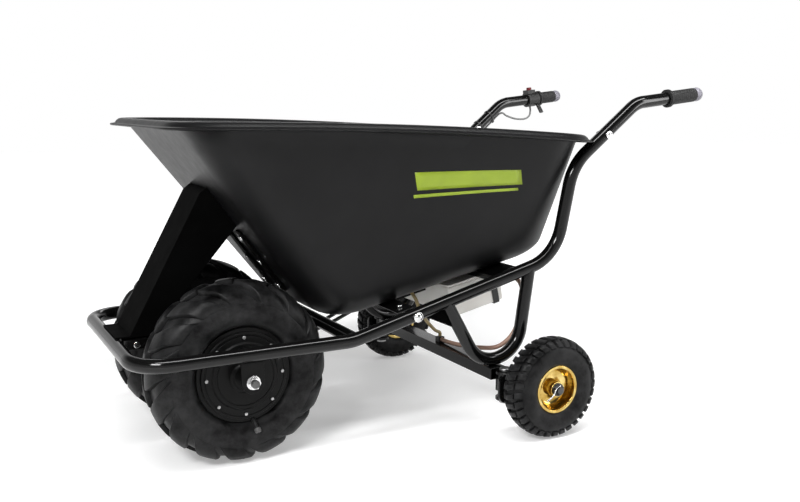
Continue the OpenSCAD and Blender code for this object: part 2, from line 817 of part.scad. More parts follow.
module kingpin() {
    low = ear_foot - seat;
    high = ear_top + seat;
    color("silver") translate([kingpin_x, kingpin_y, 0]) {
        translate([0, 0, low]) cylinder(d = stub_d, h = high - low + kingpin_head_h);
        translate([0, 0, low - kingpin_head_h]) cylinder(d = kingpin_head_d, h = kingpin_head_h);
        translate([0, 0, high]) cylinder(d = kingpin_head_d, h = kingpin_head_h);
    }
}

module left_kingpin() {
    placed(1) kingpin();
}

module right_kingpin() {
    placed(-1) kingpin();
}

module stub_axle() {
    inner = rear_y - rear_rim_w / 2 - pass;
    outer = rear_y + rear_rim_w / 2 + pass;
    ring_at = outer + washer_t + seat + split_wire_d / 2;
    color("silver") translate([-wheelbase, 0, rear_z]) {
        ring_y(arm_y - arm_plate_t - seat - stub_head_h, outer + stub_tail, stub_d, 0);
        ring_y(arm_y - arm_plate_t - seat - stub_head_h, arm_y - arm_plate_t - seat, stub_collar_d, 0);
        ring_y(arm_y + seat, inner, stub_collar_d, 0);
        ring_y(outer, outer + washer_t, washer_d, stub_d + 2 * seat);
        about_y() translate([split_ring_d / 2, ring_at]) circle(d = split_wire_d);
    }
}

module left_stub_axle() {
    placed(1) stub_axle();
}

module right_stub_axle() {
    placed(-1) stub_axle();
}

module rear_rim() {
    half = rear_rim_w / 2;
    barrel = rear_seat_d / 2 - rear_rim_wall;
    disc = [-rear_disc_back, rear_disc_t - rear_disc_back];
    hub = [rear_hub_bore, rear_hub_d] / 2;
    lip = half - rear_flange_t;
    color("goldenrod") translate([-wheelbase, rear_y, rear_z]) about_y() polygon([[hub[0], -half],
        [hub[1], -half], [hub[1], disc[0]], [barrel, disc[0]], [barrel, -half], [rear_rim_d / 2, -half],
        [rear_rim_d / 2, -lip], [rear_seat_d / 2, -lip], [rear_seat_d / 2, lip], [rear_rim_d / 2, lip],
        [rear_rim_d / 2, half], [barrel, half], [barrel, disc[1]], [hub[1], disc[1]], [hub[1], half],
        [hub[0], half]]);
}

module left_rear_rim() {
    placed(1) rear_rim();
}

module right_rear_rim() {
    placed(-1) rear_rim();
}

module wheel_bearings() {
    half = rear_rim_w / 2;
    color("lightgray") translate([-wheelbase, rear_y, rear_z]) for (from = [-half, half - bearing_w])
        ring_y(from, from + bearing_w, rear_hub_bore - 2 * run, stub_d + 2 * run);
}

module left_wheel_bearings() {
    placed(1) wheel_bearings();
}

module right_wheel_bearings() {
    placed(-1) wheel_bearings();
}

// Tyres: rings of sections, each section a closed loop of place and radius, lugs by rule
function tread_side(shares, half, seat_r, base_h, lug_h, i, steps, lag, side) = [for (q = shares)
    let (up = (i + q[4] + lag) % steps < ceil(steps / 2) ? 1 : 0)
    [side * half * (q[0] + up * q[3]), seat_r + q[1] * base_h + up * q[2] * lug_h]];
function reversed(v) = [for (i = [len(v) - 1 : -1 : 0]) v[i]];
function tyre_section(shares, cavity, half, seat_r, base_h, lug_h, i, steps, lag) = concat(
    tread_side(shares, half, seat_r, base_h, lug_h, i, steps, 0, 1),
    reversed(tread_side(shares, half, seat_r, base_h, lug_h, i, steps, lag, -1)),
    [for (q = reversed(cavity)) [half * q[0], seat_r + q[1] * base_h]]);

module tyre(shares, cavity, d, w, seat_d, lug_h, lugs, steps, lag) {
    n = lugs * steps;
    seat_r = seat_d / 2 + pass;
    base_h = d / 2 - lug_h - seat_r;
    rings = [for (i = [0 : n - 1])
        tyre_section(shares, cavity, w / 2, seat_r, base_h, lug_h, i, steps, lag)];
    m = len(rings[0]);
    polyhedron([for (i = [0 : n - 1], q = rings[i]) let (a = 360 * i / n - 90)
            [q.y * cos(a), q.x, q.y * sin(a)]],
        [for (i = [0 : n - 1], j = [0 : m - 1]) let (k = (i + 1) % n, l = (j + 1) % m)
            each [[i * m + j, i * m + l, k * m + j], [i * m + l, k * m + l, k * m + j]]]);
}

module front_tyre() {
    color("dimgray") translate([0, wheel_y, axle_z]) tyre(front_tread_shares, front_cavity_shares,
        front_tyre_d, front_tyre_w, hub_seat_d, front_lug_h, front_lugs,
        front_lug_steps, front_lug_steps / 2);
}

module left_front_tyre() {
    placed(1) front_tyre();
}

module right_front_tyre() {
    placed(-1) front_tyre();
}

module rear_tyre() {
    color("dimgray") translate([-wheelbase, rear_y, rear_z]) tyre(rear_tread_shares, rear_cavity_shares,
        rear_tyre_d, rear_tyre_w, rear_seat_d, rear_knob_h, rear_knobs, rear_knob_steps, 0);
}

module left_rear_tyre() {
    placed(1) rear_tyre();
}

module right_rear_tyre() {
    placed(-1) rear_tyre();
}

// Motor hubs turn about fixed axles
hub_half = hub_w / 2;
axle_bore = motor_axle_d / 2 + run;
barrel_bore = hub_seat_d / 2 - hub_barrel_wall;
cover_face = hub_half + seat;
boss_face = cover_face + cover_t + cover_disc_h + cover_boss_h;

module at_front_wheel(side) {
    placed(side) translate([0, wheel_y, axle_z]) children();
}

module hub_shell() {
    lip = hub_half - hub_flange_t;
    floor_in = hub_disc_t - hub_half;
    color("black") about_y() polygon([[axle_bore, -hub_half], [hub_flange_d / 2, -hub_half],
        [hub_flange_d / 2, -lip], [hub_seat_d / 2, -lip], [hub_seat_d / 2, lip], [hub_flange_d / 2, lip],
        [hub_flange_d / 2, hub_half], [barrel_bore, hub_half], [barrel_bore, floor_in],
        [axle_bore, floor_in]]);
}

module left_hub_shell() {
    at_front_wheel(1) hub_shell();
}

module right_hub_shell() {
    at_front_wheel(-1) hub_shell();
}

module hub_cover() {
    edge = hub_seat_d / 2 + cover_edge_gap;
    top = cover_face + cover_t;
    disc = top + cover_disc_h;
    color("black") about_y() polygon([[axle_bore, cover_face], [edge, cover_face], [edge, top - cover_bevel],
        [edge - cover_bevel, top], [cover_disc_d / 2, top], [cover_disc_d / 2 - cover_disc_h, disc],
        [cover_boss_d / 2, disc], [cover_boss_d / 2 - cover_bevel, boss_face], [axle_bore, boss_face]]);
}

module left_hub_cover() {
    at_front_wheel(1) hub_cover();
}

module right_hub_cover() {
    at_front_wheel(-1) hub_cover();
}

module cover_screw_ring() {
    from = cover_face + cover_t + seat;
    color("silver") for (i = [0 : cover_screw_count - 1]) rotate([0, 360 * i / cover_screw_count, 0])
        translate([cover_screw_pcd / 2, 0, 0]) ring_y(from, from + cover_screw_h, cover_screw_d, 0);
}

module left_cover_screws() {
    at_front_wheel(1) cover_screw_ring();
}

module right_cover_screws() {
    at_front_wheel(-1) cover_screw_ring();
}

module valve() {
    at = (hub_seat_d / 2 + cover_edge_gap + hub_flange_d / 2) / 2;
    color("silver") rotate([0, valve_angle, 0]) translate([at, 0, 0])
        ring_y(hub_half + seat, hub_half + valve_l, valve_d, 0);
}

module left_valve() {
    at_front_wheel(1) valve();
}

module right_valve() {
    at_front_wheel(-1) valve();
}

module motor_axles() {
    inner = inner_bar_y - axle_plate_t / 2 - seat - nut_h - axle_tail;
    outer = rail_y + axle_plate_t / 2 + seat + nut_h + axle_tail;
    color("silver") for (s = sides) placed(s) translate([0, 0, axle_z]) {
        ring_y(inner, outer, motor_axle_d, 0);
        ring_y(inner_bar_y + axle_plate_t / 2 + seat, wheel_y - hub_half - pass, axle_collar_d, 0);
        ring_y(wheel_y + boss_face + pass, rail_y - axle_plate_t / 2 - seat, axle_collar_d, 0);
    }
}

module stators() {
    color("peru") for (s = sides) at_front_wheel(s)
        ring_y(-stator_w / 2, stator_w / 2, 2 * (barrel_bore - stator_gap), motor_axle_d + 2 * run);
}

module axle_nut(way) {
    from = seat + nut_flange_h;
    difference() {
        union() {
            mirror([0, way < 0 ? 1 : 0, 0]) {
                ring_y(seat, from, nut_flange_d, 0);
                translate([0, from, 0]) rotate([-90, 0, 0]) cylinder(d = nut_d, h = nut_h, $fn = 6);
            }
        }
        ring_y(-from - 2 * nut_h, from + 2 * nut_h, motor_axle_d + 2 * run, 0);
    }
}

module axle_nuts() {
    color("silver") for (s = sides) placed(s) {
        translate([0, rail_y + axle_plate_t / 2, axle_z]) axle_nut(1);
        translate([0, inner_bar_y - axle_plate_t / 2, axle_z]) axle_nut(-1);
    }
}

// Battery and controller hang along the tray's floor
battery_top = -rear_bearer_t - strap_band_t - 3 * seat;

module at_battery() {
    placed() on_floor(-battery_back) translate([0, 0, battery_top]) children();
}

module battery_case() {
    depth = battery_h - lid_t - seat;
    color("gainsboro") at_battery() translate([0, 0, -battery_h]) difference() {
        translate([-battery_l / 2, -battery_w / 2, 0]) cube([battery_l, battery_w, depth]);
        translate([case_wall - battery_l / 2, case_wall - battery_w / 2, case_wall])
            cube([battery_l - 2 * case_wall, battery_w - 2 * case_wall, depth]);
    }
}

module battery_lid() {
    color("gainsboro") at_battery() translate([-battery_l / 2, -battery_w / 2, -lid_t])
        cube([battery_l, battery_w, lid_t]);
}

module battery_cells() {
    room = case_wall + cell_gap;
    height = battery_h - case_wall - lid_t - seat - 2 * cell_gap;
    color("teal") at_battery()
        translate([room - battery_l / 2, room - battery_w / 2, case_wall + seat - battery_h])
            cube([battery_l - 2 * room, battery_w - 2 * room, height]);
}

module battery_strap() {
    outer = strap_band_t + seat;
    color("black") at_battery() translate([strap_from_end - battery_l / 2, 0, -battery_h / 2]) difference() {
        cube([strap_band_w, battery_w + 2 * outer, battery_h + 2 * outer], center = true);
        cube([2 * strap_band_w, battery_w + 2 * seat, battery_h + 2 * seat], center = true);
    }
}

module controller_box() {
    pitch = controller_w / controller_fin_count;
    color("lightgray") placed() on_floor(-controller_back) difference() {
        translate([-controller_l / 2, -controller_w / 2, -controller_h - seat])
            cube([controller_l, controller_w, controller_h]);
        for (i = [1 : controller_fin_count - 1])
            translate([-controller_l, i * pitch - (controller_w + controller_fin_w) / 2,
                -controller_h - seat - overrun])
                cube([2 * controller_l, controller_fin_w, controller_fin_d + overrun]);
    }
}

// Cords: a smooth curve through a route's points, swept with round sections
function curve_point(p, i, t) = let (a = p[max(i - 1, 0)], b = p[i], c = p[i + 1],
        d = p[min(i + 2, len(p) - 1)])
    (2 * b + (c - a) * t + (2 * a - 5 * b + 4 * c - d) * t * t + (3 * b - a - 3 * c + d) * t * t * t) / 2;
function smooth(p) = concat([for (i = [0 : len(p) - 2], k = [0 : cord_steps - 1])
        curve_point(p, i, k / cord_steps)],
    [p[len(p) - 1]]);
function ways(p) = [for (i = [0 : len(p) - 1]) unit(p[min(i + 1, len(p) - 1)] - p[max(i - 1, 0)])];
function square_to(v, way) = unit(v - way * (v * way));
function carried(w, i, u) = i == len(w) ? []
    : let (v = square_to(u, w[i])) concat([v], carried(w, i + 1, v));

module cord(route, d, start_across, sides_round = 8) {
    p = smooth(route);
    w = ways(p);
    u = carried(w, 0, start_across);
    n = len(p);
    m = sides_round;
    polyhedron([for (i = [0 : n - 1], j = [0 : m - 1])
            p[i] + d / 2 * (u[i] * cos(360 * j / m) + cross(w[i], u[i]) * sin(360 * j / m))],
        concat([[for (j = [0 : m - 1]) j]],
            [for (i = [0 : n - 2], j = [0 : m - 1]) let (l = (j + 1) % m)
                each [[i * m + j, i * m + m + j, i * m + m + l], [i * m + j, i * m + m + l, i * m + l]]],
            [[for (j = [m - 1 : -1 : 0]) (n - 1) * m + j]]));
}

module motor_cables() {
    color("black") for (s = sides) placed(s) cord(motor_route, motor_cord_d, [0, 0, 1]);
}

module battery_cable() {
    color("darkkhaki") placed() cord(battery_route, battery_cord_d, [0, 0, 1]);
}

module charge_lead() {
    color("rosybrown") placed() cord(charge_route, charge_cord_d, [0, 0, 1]);
}

module throttle_cable() {
    color("gray") placed() cord(throttle_route, throttle_cord_d, [0, 1, 0]);
}

// A tie goes round the handle's tube and the cord beside it; a block on the beam joins two cords
module tie(at, way) {
    gap = tube_r + throttle_cord_d / 2 + tie_hang;
    hold = throttle_cord_d / 2 + tie_slack;
    down = [way.z, 0, -way.x];
    frame_of(down, cross(way, down), way, at) linear_extrude(tie_w, center = true) difference() {
        hull() {
            circle(r = tube_r + seat + tie_t);
            translate([gap, 0]) circle(r = hold + tie_t);
        }
        hull() {
            circle(r = tube_r + seat);
            translate([gap, 0]) circle(r = hold);
        }
    }
}

module cable_ties() {
    color("black") placed(-1) for (share = tie_shares)
        tie(mix(handle_corner, handle_split, share), [-handle_way.x, 0, -handle_way.z]);
    color("black") placed() translate([cable_block_at.x, cable_block_at.y, beam_top + seat])
        translate([-cable_block.x / 2, -cable_block.y / 2, 0]) cube(cable_block);
}

// Controls: pieces are laid along the right handle, with local X up and local Z to the rear
module at_grip(at) {
    up = [sin(grip_slope), 0, cos(grip_slope)];
    placed(-1) frame_of(up, cross(grip_way, up), grip_way, grip_point(at)) children();
}

switch_top = clamp_d / 2 + switch_h / 2;
button_bore_h = button_h - button_proud + button_travel + pass;

module throttle_clamp() {
    color("black") at_grip(clamp_from) difference() {
        union() {
            cylinder(d = clamp_d, h = clamp_l);
            translate([0, -switch_w / 2, 0]) cube([switch_top, switch_w, clamp_l]);
        }
        translate([0, 0, -overrun]) cylinder(d = tube_d + 2 * seat, h = clamp_l + 2 * overrun);
        translate([switch_top - button_bore_h, 0, clamp_l / 2]) rotate([0, 90, 0])
            cylinder(d = button_d + 2 * run, h = button_bore_h + overrun);
    }
}

module stop_button() {
    color("firebrick") at_grip(clamp_from) translate([switch_top + button_proud - button_h, 0, clamp_l / 2])
        rotate([0, 90, 0]) cylinder(d = button_d, h = button_h);
}

module throttle_lever() {
    color("black") at_grip(clamp_from + clamp_l + pass) difference() {
        union() {
            cylinder(d = lever_d, h = lever_l);
            rotate([0, 0, lever_angle]) translate([0, -lever_t / 2, 0])
                cube([lever_reach, lever_t, lever_l]);
        }
        translate([0, 0, -overrun]) cylinder(d = tube_d + 2 * run, h = lever_l + 2 * overrun);
    }
}

front_loop();
cross_tube();
outer_axle_plates();
inner_axle_frame();
left_side_rail();
right_side_rail();
frame_bolts();
left_handle();
right_handle();
left_grip();
right_grip();
tray();
front_support();
wall_straps();
tray_bolts();
front_bearer();
rear_bearer();
left_leg();
right_leg();
leg_gussets();
rear_beam();
kingpin_housings();
battery_case();
battery_lid();
battery_cells();
battery_strap();
controller_box();
motor_axles();
stators();
axle_nuts();
motor_cables();
battery_cable();
charge_lead();
throttle_cable();
cable_ties();
throttle_clamp();
throttle_lever();
stop_button();
left_hub_shell();
left_hub_cover();
left_cover_screws();
left_front_tyre();
left_valve();
right_hub_shell();
right_hub_cover();
right_cover_screws();
right_front_tyre();
right_valve();
left_caster_arm();
left_kingpin();
left_stub_axle();
left_rear_rim();
left_wheel_bearings();
left_rear_tyre();
right_caster_arm();
right_kingpin();
right_stub_axle();
right_rear_rim();
right_wheel_bearings();
right_rear_tyre();
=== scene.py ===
import bpy
import bmesh
import json
import math
from mathutils import Matrix, Vector


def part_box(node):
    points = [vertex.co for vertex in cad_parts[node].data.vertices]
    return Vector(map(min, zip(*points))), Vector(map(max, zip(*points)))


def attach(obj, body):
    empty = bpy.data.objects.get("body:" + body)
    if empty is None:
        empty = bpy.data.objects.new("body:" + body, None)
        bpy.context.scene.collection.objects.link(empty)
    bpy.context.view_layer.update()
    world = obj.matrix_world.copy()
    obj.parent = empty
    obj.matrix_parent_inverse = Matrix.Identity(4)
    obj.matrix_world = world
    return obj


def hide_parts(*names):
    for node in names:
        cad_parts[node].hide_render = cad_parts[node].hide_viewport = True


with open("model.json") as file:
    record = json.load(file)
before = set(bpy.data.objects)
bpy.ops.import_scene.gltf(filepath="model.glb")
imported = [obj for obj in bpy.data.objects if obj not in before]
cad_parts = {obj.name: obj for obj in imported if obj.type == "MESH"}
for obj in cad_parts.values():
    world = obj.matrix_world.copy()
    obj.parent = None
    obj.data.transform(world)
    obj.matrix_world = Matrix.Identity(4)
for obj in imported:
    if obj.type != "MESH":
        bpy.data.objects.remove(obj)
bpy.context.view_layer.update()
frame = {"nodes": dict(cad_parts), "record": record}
nodes = frame["nodes"]
record = frame["record"]
bodyOf = {n: body for body, members in record["behaviour"]["bodies"].items() for n in members}
slotOf = {row["node"]: row["material_slot"] for row in record["subparts"]}
mm = 0.001
weld = 0.005 * mm
axleX = sum(c.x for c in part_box("left_hub_shell")) / 2  # everything is laid out from the front axle


# camera at the photograph's place
cameraSpot = {"ahead": 536.8, "left": 1803.2, "up": 696.0, "yaw": 0.499, "pitch": 0.162,
              "lens": 40.5, "sensor": 36, "clipEnd": 50}


def addCamera(spot):
    data = bpy.data.cameras.new("viewCamera")
    data.lens = spot["lens"]
    data.sensor_width = spot["sensor"]
    data.clip_end = spot["clipEnd"]
    camera = bpy.data.objects.new("viewCamera", data)
    camera.location = (axleX + spot["ahead"] * mm, spot["left"] * mm, spot["up"] * mm)
    level = math.cos(spot["pitch"])
    look = Vector((-math.sin(spot["yaw"]) * level, -math.cos(spot["yaw"]) * level, -math.sin(spot["pitch"])))
    camera.rotation_euler = look.to_track_quat("-Z", "Y").to_euler()
    bpy.context.scene.collection.objects.link(camera)
    bpy.context.scene.camera = camera


addCamera(cameraSpot)


# finishes: every one starts from a plain shader, then gets its colour, gloss and relief from noise
def startFinish(name, **sockets):
    material = bpy.data.materials.new(name)
    material.use_nodes = True
    tree = material.node_tree
    shader = tree.nodes["Principled BSDF"]
    for socket, value in sockets.items():
        shader.inputs[socket.replace("_", " ")].default_value = value
    place = tree.nodes.new("ShaderNodeTexCoord")
    return material, tree, shader, place.outputs["Object"]


def addNoise(tree, place, scale, detail=4.0, rough=0.55):
    noise = tree.nodes.new("ShaderNodeTexNoise")
    noise.inputs["Scale"].default_value = scale
    noise.inputs["Detail"].default_value = detail
    noise.inputs["Roughness"].default_value = rough
    tree.links.new(place, noise.inputs["Vector"])
    return noise.outputs["Fac"]


def addRamp(tree, value, stops):
    ramp = tree.nodes.new("ShaderNodeValToRGB")
    band = ramp.color_ramp
    while len(band.elements) < len(stops):
        band.elements.new(0.5)
    for stop, (at, colour) in zip(band.elements, stops):
        stop.position = at
        stop.color = colour if len(colour) == 4 else (*colour, 1)
    tree.links.new(value, ramp.inputs["Fac"])
    return ramp.outputs["Color"]


def grey(level):
    return (level, level, level)


def shade(tree, shader, socket, value, low, high):
    # low and high are a place on the noise and the colour there
    tree.links.new(addRamp(tree, value, [low, high]), shader.inputs[socket])


def addBump(tree, shader, height, strength, distance):
    bump = tree.nodes.new("ShaderNodeBump")
    bump.inputs["Strength"].default_value = strength
    bump.inputs["Distance"].default_value = distance
    tree.links.new(height, bump.inputs["Height"])
    before = shader.inputs["Normal"].links
    if before:
        tree.links.new(before[0].from_socket, bump.inputs["Normal"])
    tree.links.new(bump.outputs["Normal"], shader.inputs["Normal"])


def paintFinish(name, dark, light, gloss, peel, specular):
    material, tree, shader, place = startFinish(name, Specular_IOR_Level=specular)
    cloud = addNoise(tree, place, scale=9, detail=5)
    shade(tree, shader, "Base Color", cloud, (0.35, dark), (0.7, light))
    smear = addNoise(tree, place, scale=34, detail=6, rough=0.65)
    shade(tree, shader, "Roughness", smear, (0.3, grey(gloss[0])), (0.75, grey(gloss[1])))
    addBump(tree, shader, addNoise(tree, place, peel["scale"], detail=2), peel["strength"], peel["depth"])
    return material


def rubberFinish(name, dark, light, grain, gloss=(0.5, 0.72), specular=0.3):
    material, tree, shader, place = startFinish(name, Specular_IOR_Level=specular)
    dust = addNoise(tree, place, scale=22, detail=8, rough=0.7)
    shade(tree, shader, "Base Color", dust, (0.35, dark), (0.72, light))
    shade(tree, shader, "Roughness", dust, (0.3, grey(gloss[0])), (0.8, grey(gloss[1])))
    addBump(tree, shader, addNoise(tree, place, grain, detail=3), strength=0.25, distance=0.0006)
    addBump(tree, shader, addNoise(tree, place, scale=60, detail=3), strength=0.12, distance=0.001)
    return material


def metalFinish(name, dark, light, gloss, scratch):
    material, tree, shader, place = startFinish(name, Metallic=1.0)
    stain = addNoise(tree, place, scale=40, detail=6, rough=0.6)
    shade(tree, shader, "Base Color", stain, (0.35, dark), (0.7, light))
    shade(tree, shader, "Roughness", stain, (0.3, grey(gloss[0])), (0.8, grey(gloss[1])))
    addBump(tree, shader, addNoise(tree, place, scratch, detail=4), strength=0.08, distance=0.0004)
    return material


def plasticFinish(name, dark, light, gloss, grain):
    material, tree, shader, place = startFinish(name, Specular_IOR_Level=0.4)
    cloud = addNoise(tree, place, scale=16, detail=5)
    shade(tree, shader, "Base Color", cloud, (0.35, dark), (0.7, light))
    shade(tree, shader, "Roughness", cloud, (0.3, grey(gloss[0])), (0.75, grey(gloss[1])))
    addBump(tree, shader, addNoise(tree, place, grain, detail=2), strength=0.15, distance=0.0004)
    return material


finish = {
    "frame_black": paintFinish("glossBlackPaint", grey(0.002), grey(0.0032), (0.1, 0.15),
                               {"scale": 420, "strength": 0.006, "depth": 0.0002}, 0.28),
    "tray_black": paintFinish("satinTrayPaint", (0.0032, 0.0032, 0.0034), (0.0052, 0.0052, 0.0055),
                              (0.38, 0.46), {"scale": 520, "strength": 0.02, "depth": 0.0003}, 0.15),
    "sheetBlack": paintFinish("sheetBlackPaint", grey(0.0014), grey(0.0024), (0.5, 0.62),
                              {"scale": 420, "strength": 0.04, "depth": 0.0003}, 0.004),
    "motor_black": paintFinish("castBlackPaint", grey(0.003), grey(0.0055), (0.28, 0.38),
                               {"scale": 900, "strength": 0.2, "depth": 0.0004}, 0.09),
    "tyre_rubber": rubberFinish("tyreRubber", (0.001, 0.001, 0.0011), (0.026, 0.026, 0.0265), 900,
                                (0.3, 0.58), 0.11),
    "bright_zinc": metalFinish("brightZinc", grey(0.52), grey(0.74), (0.12, 0.24), 300),
    "gold_zinc": metalFinish("yellowZinc", (0.34, 0.21, 0.04), (0.68, 0.53, 0.21), (0.11, 0.2), 220),
    "bearing_steel": metalFinish("bearingSteel", grey(0.22), grey(0.36), (0.25, 0.4), 260),
    "grip_rubber": rubberFinish("gripRubber", grey(0.012), grey(0.022), 1300),
    "battery_plastic": plasticFinish("batteryPlastic", (0.74, 0.72, 0.68), (0.81, 0.795, 0.76),
                                     (0.4, 0.5), 700),
    "cell_plastic": plasticFinish("cellWrap", (0.05, 0.16, 0.22), (0.07, 0.2, 0.27), (0.4, 0.5), 500),
    "black_plastic": plasticFinish("blackPlastic", grey(0.006), grey(0.011), (0.35, 0.48), 800),
    "winding": metalFinish("windingCopper", (0.5, 0.2, 0.08), (0.62, 0.3, 0.13), (0.3, 0.45), 200),
    "red_plastic": plasticFinish("redPlastic", (0.10, 0.007, 0.009), (0.15, 0.011, 0.013),
                                 (0.25, 0.35), 500),
    "cord_black": plasticFinish("blackSheath", grey(0.006), grey(0.011), (0.4, 0.52), 600),
    "cord_tan": plasticFinish("tanSheath", (0.21, 0.16, 0.065), (0.28, 0.21, 0.09), (0.4, 0.52), 600),
    "cord_brown": plasticFinish("brownSheath", (0.27, 0.16, 0.115), (0.35, 0.22, 0.165), (0.4, 0.52), 600),
    "cord_grey": plasticFinish("greySheath", grey(0.14), grey(0.2), (0.4, 0.52), 600),
    "lime": plasticFinish("limeStripe", (0.24, 0.33, 0.012), (0.29, 0.39, 0.02), (0.32, 0.42), 400),
    "darkSteel": metalFinish("darkSteel", grey(0.05), grey(0.11), (0.22, 0.36), 300),
    "dullZinc": metalFinish("dullZinc", grey(0.24), grey(0.4), (0.3, 0.42), 300),
    "paleRubber": rubberFinish("paleRubber", (0.17, 0.165, 0.19), (0.26, 0.25, 0.29), 1300, (0.3, 0.42)),
    "stemRubber": rubberFinish("stemRubber", grey(0.05), grey(0.11), 1100, (0.35, 0.5)),
}
print("finishes made:", len(finish))


# making pieces: a bmesh becomes an object that rides on a body and may stand for CAD nodes
def camel(node):
    first, *rest = node.split("_")
    return first + "".join(word.capitalize() for word in rest)


def addPiece(bm, name, body, slot, replaced=(), sharp=38, look=None):
    mesh = bpy.data.meshes.new(name)
    bm.to_mesh(mesh)
    bm.free()
    mesh.polygons.foreach_set("use_smooth", [True] * len(mesh.polygons))
    mesh.set_sharp_from_angle(angle=math.radians(sharp))
    mesh.materials.append(finish[look or slot])
    piece = bpy.data.objects.new(name, mesh)
    bpy.context.scene.collection.objects.link(piece)
    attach(piece, body)
    if replaced:
        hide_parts(*replaced)
    return piece


def addNode(bm, node, **options):
    return addPiece(bm, camel(node), bodyOf[node], slotOf[node], [node], **options)


def evenNormals(piece):
    even = piece.modifiers.new("evenNormals", "WEIGHTED_NORMAL")
    even.keep_sharp = True


def cadCopy(node):
    bm = bmesh.new()
    bm.from_mesh(nodes[node].data)
    bmesh.ops.remove_doubles(bm, verts=bm.verts, dist=0.002 * mm)
    bmesh.ops.dissolve_limit(bm, angle_limit=math.radians(0.4), verts=bm.verts, edges=bm.edges)
    return bm


def softenEdges(bm, offset, segments, overAngle):
    edges = [e for e in bm.edges if e.is_manifold and e.calc_face_angle(0) > math.radians(overAngle)]
    if edges:
        bmesh.ops.bevel(bm, geom=edges, offset=offset, segments=segments, profile=0.5, affect="EDGES",
                        clamp_overlap=True, material=-1)


# pieces that keep the CAD shape: their edges are rounded as on the made part, in millimetres
edgeRounds = {
    "front_loop": 0.5, "cross_tube": 0.5, "left_side_rail": 0.5, "right_side_rail": 0.5,
    "left_handle": 0.5, "right_handle": 0.5, "left_leg": 0.4, "right_leg": 0.4,
    "outer_axle_plates": 0.8, "inner_axle_frame": 1.2, "frame_bolts": 0.7, "front_support": 1.2,
    "wall_straps": 1.0, "tray_bolts": 1.2, "front_bearer": 0.6, "rear_bearer": 1.0, "leg_gussets": 0.8,
    "rear_beam": 2.0, "kingpin_housings": 1.0, "battery_strap": 0.6, "battery_cells": 3.0,
    "controller_box": 1.2, "motor_axles": 1.0, "stators": 1.5, "axle_nuts": 1.0, "cable_ties": 0.4,
    "throttle_clamp": 1.6, "throttle_lever": 1.5, "stop_button": 1.5,
    "left_hub_shell": 1.5, "right_hub_shell": 1.5,
    "left_caster_arm": 1.0, "right_caster_arm": 1.0, "left_kingpin": 1.2, "right_kingpin": 1.2,
    "left_stub_axle": 0.6, "right_stub_axle": 0.6, "left_wheel_bearings": 0.6, "right_wheel_bearings": 0.6,
}
# nodes whose finish isn't their slot's usual one
otherLooks = {
    "front_support": "sheetBlack", "wall_straps": "sheetBlack", "leg_gussets": "sheetBlack",
    "outer_axle_plates": "motor_black", "motor_axles": "darkSteel",
    "left_stub_axle": "darkSteel", "right_stub_axle": "darkSteel",
    "left_kingpin": "dullZinc", "right_kingpin": "dullZinc",
    "left_wheel_bearings": "darkSteel", "right_wheel_bearings": "darkSteel",
}


def addRounded(node, offset):
    bm = cadCopy(node)
    softenEdges(bm, offset * mm, segments=2, overAngle=32)
    evenNormals(addNode(bm, node, look=otherLooks.get(node)))


for node, offset in edgeRounds.items():
    addRounded(node, offset)
print("rounded pieces made:", len(edgeRounds))


def cleaned(bm):
    bmesh.ops.remove_doubles(bm, verts=bm.verts, dist=weld)
    bmesh.ops.recalc_face_normals(bm, faces=bm.faces)
    return bm


def spun(bm, steps):
    bmesh.ops.spin(bm, geom=bm.verts[:] + bm.edges[:], cent=(0, 0, 0), axis=(0, 1, 0), dvec=(0, 0, 0),
                   angle=2 * math.pi, steps=steps, use_merge=True, use_duplicate=False)
    return cleaned(bm)


# round pieces: a closed section of (radius, along), its corners rounded, spun about Y
def spinSection(section, rounds, steps):
    bm = bmesh.new()
    corners = [bm.verts.new((r * mm, y * mm, 0)) for r, y in section]
    bm.faces.new(corners)
    for corner, size in zip(corners, rounds):
        if size:
            bmesh.ops.bevel(bm, geom=[corner], offset=size * mm, segments=4, profile=0.5,
                            affect="VERTICES", material=-1)
    bmesh.ops.delete(bm, geom=list(bm.faces), context="FACES_ONLY")
    return spun(bm, steps)


def centreOf(node):
    low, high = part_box(node)
    return (low + high) / 2


def moved(bm, spot, side=1):
    if side < 0:
        bmesh.ops.scale(bm, vec=(1, -1, 1), verts=bm.verts)
        bmesh.ops.reverse_faces(bm, faces=bm.faces)
    bmesh.ops.translate(bm, vec=spot, verts=bm.verts)
    return bm


def turned(bm, matrix):
    bmesh.ops.rotate(bm, cent=(0, 0, 0), matrix=matrix, verts=bm.verts)
    return bm


def joined(bm, other):
    spare = bpy.data.meshes.new("spare")
    other.to_mesh(spare)
    other.free()
    bm.from_mesh(spare)
    bpy.data.meshes.remove(spare)
    return bm


bothSides = {"left": 1, "right": -1}


